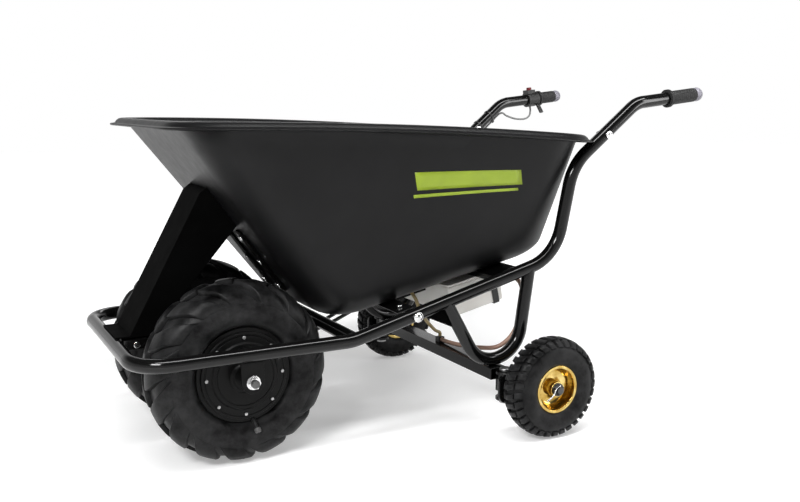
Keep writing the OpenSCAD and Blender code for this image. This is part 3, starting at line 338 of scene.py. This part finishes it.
# tyres: a smooth carcass with rows of lugs laid over it, each row between two shares of the carcass path
frontTyre = {
    "section": [(82.6, 41), (84, 45.2), (94.6, 45.8), (96, 50), (99.5, 55), (105, 59.5), (112, 62.6),
                (120, 64), (130, 64), (141, 62), (150, 57.5), (157, 51), (163, 42), (167, 30),
                (169.4, 15), (170, 0)],
    "crown": 180.0, "steps": 112,
    "rows": [{"count": 15, "start": 0.01, "end": 0.5, "height": 10.0, "lowHeight": 0.8, "wide": 40,
              "wideOut": 56, "lag": 0.8, "sink": 4, "taper": 0.88, "round": 2.2, "fade": 4.5,
              "shift": 0, "pair": True}],
}
rearTyre = {
    "section": [(46.6, 20), (47.2, 23.2), (51.6, 24), (53.2, 26.6), (58, 29.4), (66, 31), (76, 31.4),
                (85, 30), (92, 26), (97, 19), (99.8, 10), (100.6, 0)],
    "crown": 107.5, "steps": 96,
    "rows": [{"count": 32, "start": 0.19, "end": 0.37, "height": 6.8, "lowHeight": 3.0, "wide": 14.5,
              "wideOut": 13.5, "lag": 0.2, "sink": 3, "taper": 0.86, "round": 0.9, "fade": 3,
              "shift": 0, "pair": True},
             {"count": 32, "start": -0.14, "end": 0.14, "height": 6.8, "lowHeight": 6.8, "wide": 13,
              "wideOut": 13, "lag": 0.35, "sink": 3, "taper": 0.86, "round": 0.9, "fade": 3,
              "shift": 0.5, "pair": False}],
}
lugSweep = 1.3  # how the lugs curve back towards the shoulder


def carcassPoint(section, share):
    # walks the section from its middle outwards and gives a place and the way out of the rubber
    path = [Vector((r, y)) for r, y in reversed(section)]
    steps = [(b - a).length for a, b in zip(path, path[1:])]
    flip = Vector((1, -1 if share < 0 else 1))
    left = abs(share) * sum(steps)
    for a, b, step in zip(path, path[1:], steps):
        if left <= step:
            break
        left -= step
    way = (b - a) / step
    return (a + way * left) * flip, Vector((way.y, -way.x)) * flip


def makeLug(tyre, row):
    bm = bmesh.new()
    bmesh.ops.create_grid(bm, x_segments=9, y_segments=3, size=0.5)
    top = bmesh.ops.extrude_face_region(bm, geom=bm.faces[:])
    raised = [v for v in top["geom"] if isinstance(v, bmesh.types.BMVert)]
    bmesh.ops.translate(bm, vec=(0, 0, 1), verts=raised)
    pitch = 2 * math.pi / row["count"]
    for v in bm.verts:
        along = v.co.x + 0.5
        spot, out = carcassPoint(tyre["section"], row["start"] + (row["end"] - row["start"]) * along)
        height = row["height"] + (row["lowHeight"] - row["height"]) * along ** row["fade"]
        wide = row["wide"] + (row["wideOut"] - row["wide"]) * along
        place = spot + out * (height if v.co.z > 0.5 else -row["sink"])
        radius = min(place.x, tyre["crown"])
        narrow = row["taper"] if v.co.z > 0.5 else 1
        turn = pitch * row["lag"] * along ** lugSweep + v.co.y * wide * narrow / radius
        v.co = Vector((radius * math.cos(turn), place.y, radius * math.sin(turn))) * mm
    bmesh.ops.recalc_face_normals(bm, faces=bm.faces)
    softenEdges(bm, row["round"] * mm, segments=2, overAngle=50)
    return bm


def makeTyre(tyre):
    half = tyre["section"]
    bm = bmesh.new()
    loop = [bm.verts.new((r * mm, y * mm, 0)) for r, y in half]
    loop += [bm.verts.new((r * mm, -y * mm, 0)) for r, y in reversed(half[:-1])]
    for a, b in zip(loop, loop[1:] + loop[:1]):
        bm.edges.new((a, b))
    spun(bm, tyre["steps"])
    for row in tyre["rows"]:
        for side in (1, -1) if row["pair"] else (1,):
            for k in range(row["count"]):
                turn = 2 * math.pi * (k + row["shift"] + (0 if side > 0 else 0.5)) / row["count"]
                lug = turned(makeLug(tyre, row), Matrix.Rotation(turn, 3, "Y"))
                joined(bm, moved(lug, (0, 0, 0), side))
    return bm


for sideName, side in bothSides.items():
    for kind, tyre in (("front_tyre", frontTyre), ("rear_tyre", rearTyre)):
        node = sideName + "_" + kind
        addNode(moved(makeTyre(tyre), centreOf(node), side), node, sharp=48)
print("tyres made")


# hub covers: stepped black discs with ring grooves
hubCover = {
    "section": [(8.05, 52.2), (86, 52.2), (86, 57.2), (80.5, 57.2), (80, 55.8), (78, 55.8), (77.5, 57.2),
                (67, 57.2), (64, 61.2), (58, 61.2), (57.4, 60.0), (55.6, 60.0), (55, 61.2), (33, 61.2),
                (31.5, 60.2), (28, 60.2), (25.5, 62.6), (24, 65.2), (8.05, 65.2)],
    "round": [0, 0, 1.6, 0.4, 0.4, 0.4, 0.4, 1.2, 1.0, 0.4, 0.4, 0.4, 0.4, 0.4, 0.4, 0.8, 0.8, 1.0, 0],
    "steps": 128,
}
coverScrew = {"count": 8, "pcd": 152, "head": 3.2, "base": 57.4, "top": 60.0, "round": 0.5, "steps": 24,
              "socket": 1.7, "socketDeep": 0.1}
pin = 0.02  # radius of the point where a closed end is drawn together


def makeSocketScrew():
    c = coverScrew
    bm = spinSection([(pin, c["base"]), (c["head"], c["base"]), (c["head"], c["top"]), (pin, c["top"])],
                     [0, 0, c["round"], 0], c["steps"])
    hexHole = bmesh.new()
    bmesh.ops.create_cone(hexHole, cap_ends=True, segments=6, radius1=c["socket"] * mm,
                          radius2=c["socket"] * mm, depth=c["socketDeep"] * mm)
    turned(hexHole, Matrix.Rotation(math.pi / 2, 3, "X"))
    return joined(bm, moved(hexHole, (0, (c["top"] + c["socketDeep"] / 2) * mm, 0)))


for sideName, side in bothSides.items():
    tyreSpot = centreOf(sideName + "_front_tyre")
    spot = Vector((axleX, side * abs(tyreSpot.y), tyreSpot.z))
    cover = spinSection(hubCover["section"], hubCover["round"], hubCover["steps"])
    addNode(moved(cover, spot, side), sideName + "_hub_cover", sharp=40)
    ring = bmesh.new()
    for k in range(coverScrew["count"]):
        screw = moved(makeSocketScrew(), (coverScrew["pcd"] / 2 * mm, 0, 0))
        turn = 2 * math.pi * k / coverScrew["count"]
        joined(ring, turned(screw, Matrix.Rotation(turn, 3, "Y")))
    addNode(moved(ring, spot, side), sideName + "_cover_screws", look="dullZinc")
print("hub covers made")


# rear rims: a deep yellow-zinc dish with a rolled bead
rearRim = {
    "section": [(13, -26), (17, -26), (17, -6), (30, -7), (39, -10), (43.5, -15), (43.5, -26), (51, -26),
                (51, -23.5), (46, -23.5), (46, 23.5), (51, 23.5), (51, 26), (45, 26), (43.2, 21), (42, 6),
                (38, -1), (29, -3.5), (17, -2.5), (17, 26), (13, 26)],
    "round": [0, 0, 1, 3, 3, 2, 1, 1, 1, 0.6, 0.6, 1, 1.1, 1.2, 2, 4, 4, 4, 1.2, 0.8, 0.5],
    "steps": 96,
}
for sideName, side in bothSides.items():
    node = sideName + "_rear_rim"
    rim = spinSection(rearRim["section"], rearRim["round"], rearRim["steps"])
    addNode(moved(rim, centreOf(node), side), node, sharp=40)
print("rear rims made")


# tray: rings of one lofted sheet, the floor's fillet, walls and a rolled rim
traySheet = {
    "rimFront": 112, "rimBack": -784, "rimHalf": 290, "rimFrontZ": 653, "rimFall": 2.5, "rimCrown": 9,
    "floorFront": -187, "floorBack": -748, "floorHalf": 190, "floorZ": 257, "climb": -209, "floorSlope": 12,
    "floorCorner": (85, 110), "rimCorner": (90, 130), "fillet": 45, "wall": 1.5, "wallTop": 0.985,
    "cornerSteps": 14, "sideSteps": 18, "endSteps": 8, "filletSteps": 8, "wallSteps": 10,
    "roll": [(0.1, -4), (0.4, 1), (1.4, 5), (4, 8.8), (8.6, 11.4), (13.6, 12), (18.4, 10.8), (22.4, 8),
             (25, 4.6), (27, 2.4), (31, 1.5), (35.4, 1), (36.4, 0.2), (35.4, -0.6), (31, -0.5)],
}


def outlinePoints(back, front, half, corners):
    t = traySheet
    frontR, backR = corners
    spots = []
    for k in range(4):
        ahead = k in (0, 3)
        r = frontR if ahead else backR
        cx = front - r if ahead else back + r
        cy = (half - r) * (1 if k < 2 else -1)
        for i in range(t["cornerSteps"] + 1):
            a = math.radians(90 * k + 90 * i / t["cornerSteps"])
            spots.append(Vector((cx + r * math.cos(a), cy + r * math.sin(a))))
        nextR = {0: backR, 1: backR, 2: frontR, 3: frontR}[k]
        end = {0: Vector((back + nextR, half)), 1: Vector((back, nextR - half)),
               2: Vector((front - nextR, -half)), 3: Vector((front, half - nextR))}[k]
        steps = t["sideSteps"] if k in (0, 2) else t["endSteps"]
        spots += [spots[-1].lerp(end, i / steps) for i in range(1, steps)]
    return spots


def floorHeight(x):
    return traySheet["floorZ"] - (x - traySheet["climb"]) * math.tan(math.radians(traySheet["floorSlope"]))


def rimHeight(x):
    t = traySheet
    u = (t["rimFront"] - x) / (t["rimFront"] - t["rimBack"])
    fall = (t["rimFront"] - x) * math.tan(math.radians(t["rimFall"]))
    return t["rimFrontZ"] - fall + t["rimCrown"] * 4 * u * (1 - u)


def trayRing(share, inset, lift=0):
    t = traySheet
    low = outlinePoints(t["floorBack"] + inset, t["floorFront"] - inset, t["floorHalf"] - inset,
                        [r - inset for r in t["floorCorner"]])
    high = outlinePoints(t["rimBack"] + inset, t["rimFront"] - inset, t["rimHalf"] - inset,
                         [r - inset for r in t["rimCorner"]])
    ring = []
    for a, b in zip(low, high):
        foot = Vector((a.x, a.y, floorHeight(a.x)))
        top = Vector((b.x, b.y, rimHeight(b.x)))
        ring.append(foot.lerp(top, share) + Vector((0, 0, lift)))
    return ring


def addLoop(bm, spots):
    loop = [bm.verts.new(Vector((axleX, 0, 0)) + spot * mm) for spot in spots]
    return [bm.edges.new((a, b)) for a, b in zip(loop, loop[1:] + loop[:1])]


def makeTray():
    t = traySheet
    depth = t["rimFrontZ"] - t["floorZ"]
    rings = []
    for k in range(t["filletSteps"] + 1):
        a = math.pi / 2 * k / t["filletSteps"]
        rings.append(trayRing(t["fillet"] * (1 - math.cos(a)) / depth, t["fillet"] * (1 - math.sin(a))))
    start = t["fillet"] / depth
    for k in range(1, t["wallSteps"] + 1):
        rings.append(trayRing(start + (t["wallTop"] - start) * k / t["wallSteps"], 0))
    rings += [trayRing(1, -out, up) for out, up in t["roll"]]
    bm = bmesh.new()
    loops = [addLoop(bm, ring) for ring in rings]
    for a, b in zip(loops, loops[1:]):
        bmesh.ops.bridge_loops(bm, edges=a + b)
    bmesh.ops.contextual_create(bm, geom=loops[0])
    bmesh.ops.recalc_face_normals(bm, faces=bm.faces)
    lowest = min(bm.faces, key=lambda face: face.calc_center_median().z)
    if lowest.normal.z > 0:  # the sheet's thickness goes inwards from the outer skin
        bmesh.ops.reverse_faces(bm, faces=bm.faces)
    return bm


tray = addPiece(makeTray(), "traySheet", bodyOf["tray"], slotOf["tray"], ["tray"], sharp=50)
sheet = tray.modifiers.new("sheet", "SOLIDIFY")
sheet.thickness = traySheet["wall"] * mm
sheet.offset = -1
print("tray made")


# plain lime stripe on the tray's sides: a bar and a line, each with its ends and its shares of the height
stripe = {"bars": [(-340, -596, 0.65, 0.76), (-340, -594, 0.605, 0.625)], "slant": 12,
          "slantOver": 0.11, "proud": 0.3, "thick": 0.2}


def wallSpot(x, share, side, proud):
    # a place on the outer side wall, at a share of its height
    t = traySheet
    front = (t["floorFront"] - t["floorCorner"][0], t["rimFront"] - t["rimCorner"][0])
    back = (t["floorBack"] + t["floorCorner"][1], t["rimBack"] + t["rimCorner"][1])
    start = front[0] + (front[1] - front[0]) * share
    end = back[0] + (back[1] - back[0]) * share
    u = (x - start) / (end - start)
    foot, top = (a + (b - a) * u for a, b in zip(front, back))
    low = Vector((foot, t["floorHalf"], floorHeight(foot)))
    high = Vector((top, t["rimHalf"], rimHeight(top)))
    spot = low.lerp(high, share) + Vector((0, proud, 0))
    return Vector((axleX / mm + spot.x, side * spot.y, spot.z)) * mm


def makeStripe(side):
    bm = bmesh.new()
    for start, end, low, high in stripe["bars"]:
        patch = bmesh.new()
        bmesh.ops.create_grid(patch, x_segments=16, y_segments=4, size=0.5)
        for v in patch.verts:
            lean = stripe["slant"] * v.co.y * (high - low) / stripe["slantOver"]
            x = start + (end - start) * (v.co.x + 0.5) + lean
            v.co = wallSpot(x, low + (high - low) * (v.co.y + 0.5), side, stripe["proud"])
        bmesh.ops.recalc_face_normals(patch, faces=patch.faces)
        joined(bm, patch)
    for face in bm.faces:
        if face.normal.y * side < 0:
            face.normal_flip()
    return bm


for sideName, side in bothSides.items():
    bars = addPiece(makeStripe(side), sideName + "TrayStripe", "frame", "tray_black", look="lime")
    film = bars.modifiers.new("film", "SOLIDIFY")
    film.thickness = stripe["thick"] * mm
    film.offset = -1
print("stripes made")


# battery: a moulded case with round corners and ribs, and a flat lid
battery = {"back": 553, "long": 140, "wide": 290, "tall": 74, "lid": 4, "drop": 16.6, "corner": 12,
           "edge": 4, "lidEdge": 1.0, "lidGap": 0.2, "tilt": 12}
ribs = {"count": 4, "thick": 1.6, "proud": 0.4, "foot": 12, "head": 10, "corner": 0.3, "edge": 0.2,
        "clear": 60, "shift": 14}


def makeBlock(long, wide, low, high, corner, edge):
    bm = bmesh.new()
    bmesh.ops.create_cube(bm, size=1)
    bmesh.ops.scale(bm, vec=(long * mm, wide * mm, (high - low) * mm), verts=bm.verts)
    bmesh.ops.translate(bm, vec=(0, 0, (high + low) / 2 * mm), verts=bm.verts)
    upright = [e for e in bm.edges if abs(e.verts[0].co.z - e.verts[1].co.z) > mm]
    bmesh.ops.bevel(bm, geom=upright, offset=corner * mm, segments=6, profile=0.5, affect="EDGES",
                    material=-1)
    softenEdges(bm, edge * mm, segments=4, overAngle=60)
    return bm


def underFloor(bm):
    # from the tray floor's own slope to the place below it
    turned(bm, Matrix.Rotation(math.radians(battery["tilt"]), 3, "Y"))
    back = battery["back"]
    return moved(bm, (axleX - back * mm, 0, floorHeight(-back) * mm))


def makeCase():
    b = battery
    bottom = -b["drop"] - b["tall"]
    top = -b["drop"] - b["lid"] - b["lidGap"]
    case = makeBlock(b["long"], b["wide"], bottom, top, b["corner"], b["edge"])
    for k in range(ribs["count"]):
        rib = makeBlock(ribs["thick"], b["wide"] + ribs["proud"], bottom + ribs["foot"], top - ribs["head"],
                        ribs["corner"], ribs["edge"])
        share = (k + 1) / (ribs["count"] + 1) - 0.5
        joined(case, moved(rib, (share * (b["long"] - ribs["clear"]) * mm + ribs["shift"] * mm, 0, 0)))
    return case


def makeLid():
    b = battery
    return makeBlock(b["long"], b["wide"], -b["drop"] - b["lid"], -b["drop"], b["corner"], b["lidEdge"])


addNode(underFloor(makeCase()), "battery_case", sharp=40)
addNode(underFloor(makeLid()), "battery_lid", sharp=40)
print("battery made")


# grips: ribbed rubber sleeves with a collar and a round end, spun and laid along the handles
grips = {"left": 92, "right": 62, "slope": 6.2, "corner": (-906, 261.70, 698), "reach": 183.6,
         "bore": 14.2, "body": 15.3, "collar": 20.5, "collarLong": 6.0, "collarFoot": 2, "steps": 64,
         "rib": 15.8, "pitch": 6.0, "ribsFrom": 5, "ribsTo": 14, "ribRise": 0.8, "ribTop": 4.0,
         "ribFoot": 4.8, "end": 16.0, "endNeck": 8, "endFrom": -20, "endSweep": 105, "endSteps": 7,
         "endWall": 0.3, "pale": 9}


def makeGrip(long):
    g = grips
    section = [(g["bore"], 0), (g["collar"], 0), (g["collar"], g["collarLong"]),
               (g["body"], g["collarLong"] + g["collarFoot"])]
    at = g["collarLong"] + g["ribsFrom"]
    while at < long - g["ribsTo"]:
        section += [(g["body"], at), (g["rib"], at + g["ribRise"]), (g["rib"], at + g["ribTop"]),
                    (g["body"], at + g["ribFoot"])]
        at += g["pitch"]
    section.append((g["body"], long - g["endNeck"]))
    for k in range(g["endSteps"] + 1):
        a = math.radians(g["endFrom"] + g["endSweep"] * k / g["endSteps"])
        section.append((max(g["end"] * math.cos(a), pin), long + g["end"] * math.sin(a)))
    inside = long - g["end"] + g["endWall"]
    section += [(pin, inside), (g["bore"], inside)]
    bm = spinSection(section, [], g["steps"])
    for face in bm.faces:
        face.material_index = int(face.calc_center_median().y > (long - g["pale"]) * mm)
    return bm


for sideName, side in bothSides.items():
    node = sideName + "_grip"
    g = grips
    way = Vector((-math.cos(math.radians(g["slope"])), 0, math.sin(math.radians(g["slope"]))))
    corner = Vector((g["corner"][0] + axleX / mm, side * g["corner"][1], g["corner"][2])) * mm
    grip = turned(makeGrip(g[sideName]), Vector((0, 1, 0)).rotation_difference(way).to_matrix())
    moved(grip, corner + way * (g["reach"] - g[sideName]) * mm)
    sleeve = addNode(grip, node, sharp=40)
    sleeve.data.materials.append(finish["paleRubber"])
print("grips made")


# cables: smooth round tubes along the routes, which are points from the front axle line
cables = {
    "motor_cables": {"d": 8, "mirror": True, "points": [
        (0, 31, 180), (0, 21, 180), (-8, 17, 182), (-40, 14, 190), (-130, 16, 203), (-217, 16, 203),
        (-300, 18, 232), (-340, 20, 256), (-372, 20, 271.2), (-391.6, 20, 275.3)]},
    "battery_cable": {"d": 8, "mirror": False, "points": [
        (-432, 55.4, 282), (-432, 72, 281), (-440, 84, 264), (-455, 76, 236), (-478, 56, 212),
        (-500, 38, 192), (-528, 22, 168), (-546, 14, 158), (-547, 14, 148.7)]},
    "charge_lead": {"d": 10, "mirror": False, "points": [
        (-547, 22.4, 142.4), (-547, 50, 143), (-549, 90, 146), (-553, 130, 150.5), (-560, 170, 156),
        (-577, 203, 163), (-598, 215, 178), (-615, 220, 200), (-626, 221, 228), (-633, 221, 262),
        (-637, 215, 287), (-645, 196, 301), (-655, 160, 308), (-660, 130, 311), (-652.4, 112, 309.7),
        (-630.5, 112, 305.1)]},
    "throttle_cable": {"d": 5, "mirror": False, "points": [
        (-1002.6, -261.7, 688.1), (-1004, -261.7, 676), (-1000, -261.7, 663), (-985, -261.7, 655),
        (-955, -261.7, 655), (-925, -261.7, 663), (-902, -261, 670.5), (-862, -260, 639), (-822, -258, 607),
        (-784, -258, 570), (-763, -256, 535), (-756, -254, 500), (-745, -250, 440), (-737, -246, 405),
        (-734, -230, 378), (-730, -195, 354), (-716, -155, 340), (-690, -126, 320.7), (-652.4, -120, 309.7),
        (-630.5, -120, 305.1)]},
}


def smoothRoute(points, steps=6):
    # a smooth curve through the route's points
    p = [Vector(q) for q in points]
    spots = []
    for i in range(len(p) - 1):
        a, b, c, d = p[max(i - 1, 0)], p[i], p[i + 1], p[min(i + 2, len(p) - 1)]
        for k in range(steps):
            t = k / steps
            spots.append((2 * b + (c - a) * t + (2 * a - 5 * b + 4 * c - d) * t * t
                          + (3 * b - a - 3 * c + d) * t ** 3) / 2)
    return spots + [p[-1]]


def makeCable(points, diameter):
    curve = bpy.data.curves.new("route", "CURVE")
    curve.dimensions = "3D"
    curve.bevel_depth = diameter / 2 * mm
    curve.bevel_resolution = 5
    curve.use_fill_caps = True
    spline = curve.splines.new("POLY")
    spots = smoothRoute(points)
    spline.points.add(len(spots) - 1)
    for point, spot in zip(spline.points, spots):
        point.co = (*(Vector((axleX, 0, 0)) + spot * mm), 1)
    holder = bpy.data.objects.new("route", curve)
    bpy.context.scene.collection.objects.link(holder)
    bpy.context.view_layer.update()
    graph = bpy.context.evaluated_depsgraph_get()
    mesh = bpy.data.meshes.new_from_object(holder.evaluated_get(graph))
    bm = bmesh.new()
    bm.from_mesh(mesh)
    bpy.data.objects.remove(holder)
    bpy.data.curves.remove(curve)
    bpy.data.meshes.remove(mesh)
    return cleaned(bm)


for node, cable in cables.items():
    run = makeCable(cable["points"], cable["d"])
    if cable["mirror"]:
        joined(run, makeCable([(x, -y, z) for x, y, z in cable["points"]], cable["d"]))
    addNode(run, node)
print("cables made")


# valves: a bent rubber stem from the hub's edge over the bead, with a fat cap
# the stem's points are (radius, along the axle)
valve = {"d": 9, "angle": 100, "path": [(91, 46.8), (95, 55.5), (101, 62), (107, 66)]}
valveCap = {"radius": 6.25, "long": 9, "round": [0, 1.2, 2.2, 0], "steps": 28}


def makeCap():
    c = valveCap
    section = [(pin, 0), (c["radius"], 0), (c["radius"], c["long"]), (pin, c["long"])]
    bm = spinSection(section, c["round"], c["steps"])
    for face in bm.faces:
        face.material_index = 1
    return bm


for sideName, side in bothSides.items():
    node = sideName + "_valve"
    hub = centreOf(sideName + "_front_tyre") / mm
    turn = math.radians(valve["angle"])
    spots = [Vector((r * math.cos(turn), y, -r * math.sin(turn))) for r, y in valve["path"]]
    lean = Vector((0, 1, 0)).rotation_difference(spots[-1] - spots[-2]).to_matrix()
    cap = moved(turned(makeCap(), lean), spots[-1] * mm + Vector((axleX, 0, 0)))
    stem = joined(makeCable(spots, valve["d"]), cap)
    whole = addNode(moved(stem, (0, hub.y * mm, hub.z * mm), side), node, look="tyre_rubber")
    whole.data.materials.append(finish["stemRubber"])
print("valves made")


# the wire tail of each rear wheel's ring pin, from the wheel's middle
pinTail = {"d": 3.2, "points": [(-2, 31.5, 9), (9, 32.5, 4), (14, 32.5, -6), (21, 32, -13), (30, 31, -19)]}
for sideName, side in bothSides.items():
    hub = centreOf(sideName + "_rear_rim") / mm
    route = [(hub.x - axleX / mm + x, hub.y + side * y, hub.z + z) for x, y, z in pinTail["points"]]
    addPiece(makeCable(route, pinTail["d"]), sideName + "PinTail", sideName + "_caster", "bright_zinc")
print("ring pins made")


# floor, lights and the white surroundings
studio = {"floor": 0.8, "mottle": 0.01, "size": 24, "ambient": 0.32, "glow": 0.3, "glowFar": 0.8,
          "nearTo": 1.1, "farFrom": 2.6, "skyFrom": 0.2, "skyTo": 0.5, "skyTop": 0.1}
lamps = [
    {"name": "topBox", "at": (0.0, 0.85, 2.3), "aim": (0.0, 0.15, 0.4), "size": (3.2, 0.3), "power": 64},
    {"name": "frontBox", "at": (1.75, 1.35, 1.7), "aim": (0.4, 0.2, 0.35), "size": (0.75, 0.5), "power": 46},
    {"name": "rearBox", "at": (-2.0, 1.9, 1.2), "aim": (-0.3, 0.2, 0.4), "size": (0.3, 1.8), "power": 20},
    {"name": "farBox", "at": (-0.6, -2.4, 2.1), "aim": (0, 0, 0.5), "size": (2.2, 0.5), "power": 14},
]


def eyeRays(tree):
    # one for the camera and for clear reflections, none for other light
    path = tree.nodes.new("ShaderNodeLightPath")
    total = path.outputs["Is Camera Ray"]
    for kind in ("Is Glossy Ray", "Is Transmission Ray"):
        most = tree.nodes.new("ShaderNodeMath")
        most.operation = "MAXIMUM"
        tree.links.new(total, most.inputs[0])
        tree.links.new(path.outputs[kind], most.inputs[1])
        total = most.outputs[0]
    return total


def addWorld():
    # white round the horizon and below, dim overhead as in a room
    world = bpy.data.worlds.new("studioWorld")
    bpy.context.scene.world = world
    world.use_nodes = True
    tree = world.node_tree
    ambient = tree.nodes["Background"]
    ambient.inputs["Color"].default_value = (1, 1, 1, 1)
    ambient.inputs["Strength"].default_value = studio["ambient"]
    place = tree.nodes.new("ShaderNodeTexCoord")
    split = tree.nodes.new("ShaderNodeSeparateXYZ")
    tree.links.new(place.outputs["Generated"], split.inputs[0])
    sky = tree.nodes.new("ShaderNodeBackground")
    shade(tree, sky, "Color", split.outputs["Z"], (studio["skyFrom"], grey(1)),
          (studio["skyTo"], grey(studio["skyTop"])))
    mix = tree.nodes.new("ShaderNodeMixShader")
    tree.links.new(eyeRays(tree), mix.inputs[0])
    tree.links.new(ambient.outputs[0], mix.inputs[1])
    tree.links.new(sky.outputs[0], mix.inputs[2])
    tree.links.new(mix.outputs[0], tree.nodes["World Output"].inputs["Surface"])


def addFloor():
    bm = bmesh.new()
    bmesh.ops.create_grid(bm, x_segments=2, y_segments=2, size=studio["size"] / 2)
    mesh = bpy.data.meshes.new("studioFloor")
    bm.to_mesh(mesh)
    bm.free()
    material, tree, shader, place = startFinish("floorPaper", Roughness=0.9, Specular_IOR_Level=0.1)
    cloud = addNoise(tree, place, scale=3, detail=3)
    shade(tree, shader, "Base Color", cloud, (0.3, grey(studio["floor"] - studio["mottle"])),
          (0.7, grey(studio["floor"] + studio["mottle"])))
    # the floor glows more away from the object, so that it meets the white surroundings
    away = tree.nodes.new("ShaderNodeVectorMath")
    away.operation = "LENGTH"
    tree.links.new(place, away.inputs[0])
    fade = tree.nodes.new("ShaderNodeMapRange")
    ends = {"From Min": "nearTo", "From Max": "farFrom", "To Min": "glow", "To Max": "glowFar"}
    for socket, value in ends.items():
        fade.inputs[socket].default_value = studio[value]
    tree.links.new(away.outputs["Value"], fade.inputs["Value"])
    glow = tree.nodes.new("ShaderNodeMath")
    glow.operation = "MULTIPLY"
    tree.links.new(fade.outputs["Result"], glow.inputs[1])
    tree.links.new(eyeRays(tree), glow.inputs[0])
    shader.inputs["Emission Color"].default_value = (1, 1, 1, 1)
    tree.links.new(glow.outputs[0], shader.inputs["Emission Strength"])
    mesh.materials.append(material)
    floor = bpy.data.objects.new("studioFloor", mesh)
    bpy.context.scene.collection.objects.link(floor)


def addLamp(lamp):
    data = bpy.data.lights.new(lamp["name"], "AREA")
    data.shape = "RECTANGLE"
    data.size, data.size_y = lamp["size"]
    data.energy = lamp["power"]
    holder = bpy.data.objects.new(lamp["name"], data)
    holder.location = lamp["at"]
    holder.visible_camera = False
    way = Vector(lamp["aim"]) - Vector(lamp["at"])
    holder.rotation_euler = way.to_track_quat("-Z", "Y").to_euler()
    bpy.context.scene.collection.objects.link(holder)


addWorld()
addFloor()
for lamp in lamps:
    addLamp(lamp)
bpy.context.scene.view_settings.view_transform = "Standard"
print("studio made")
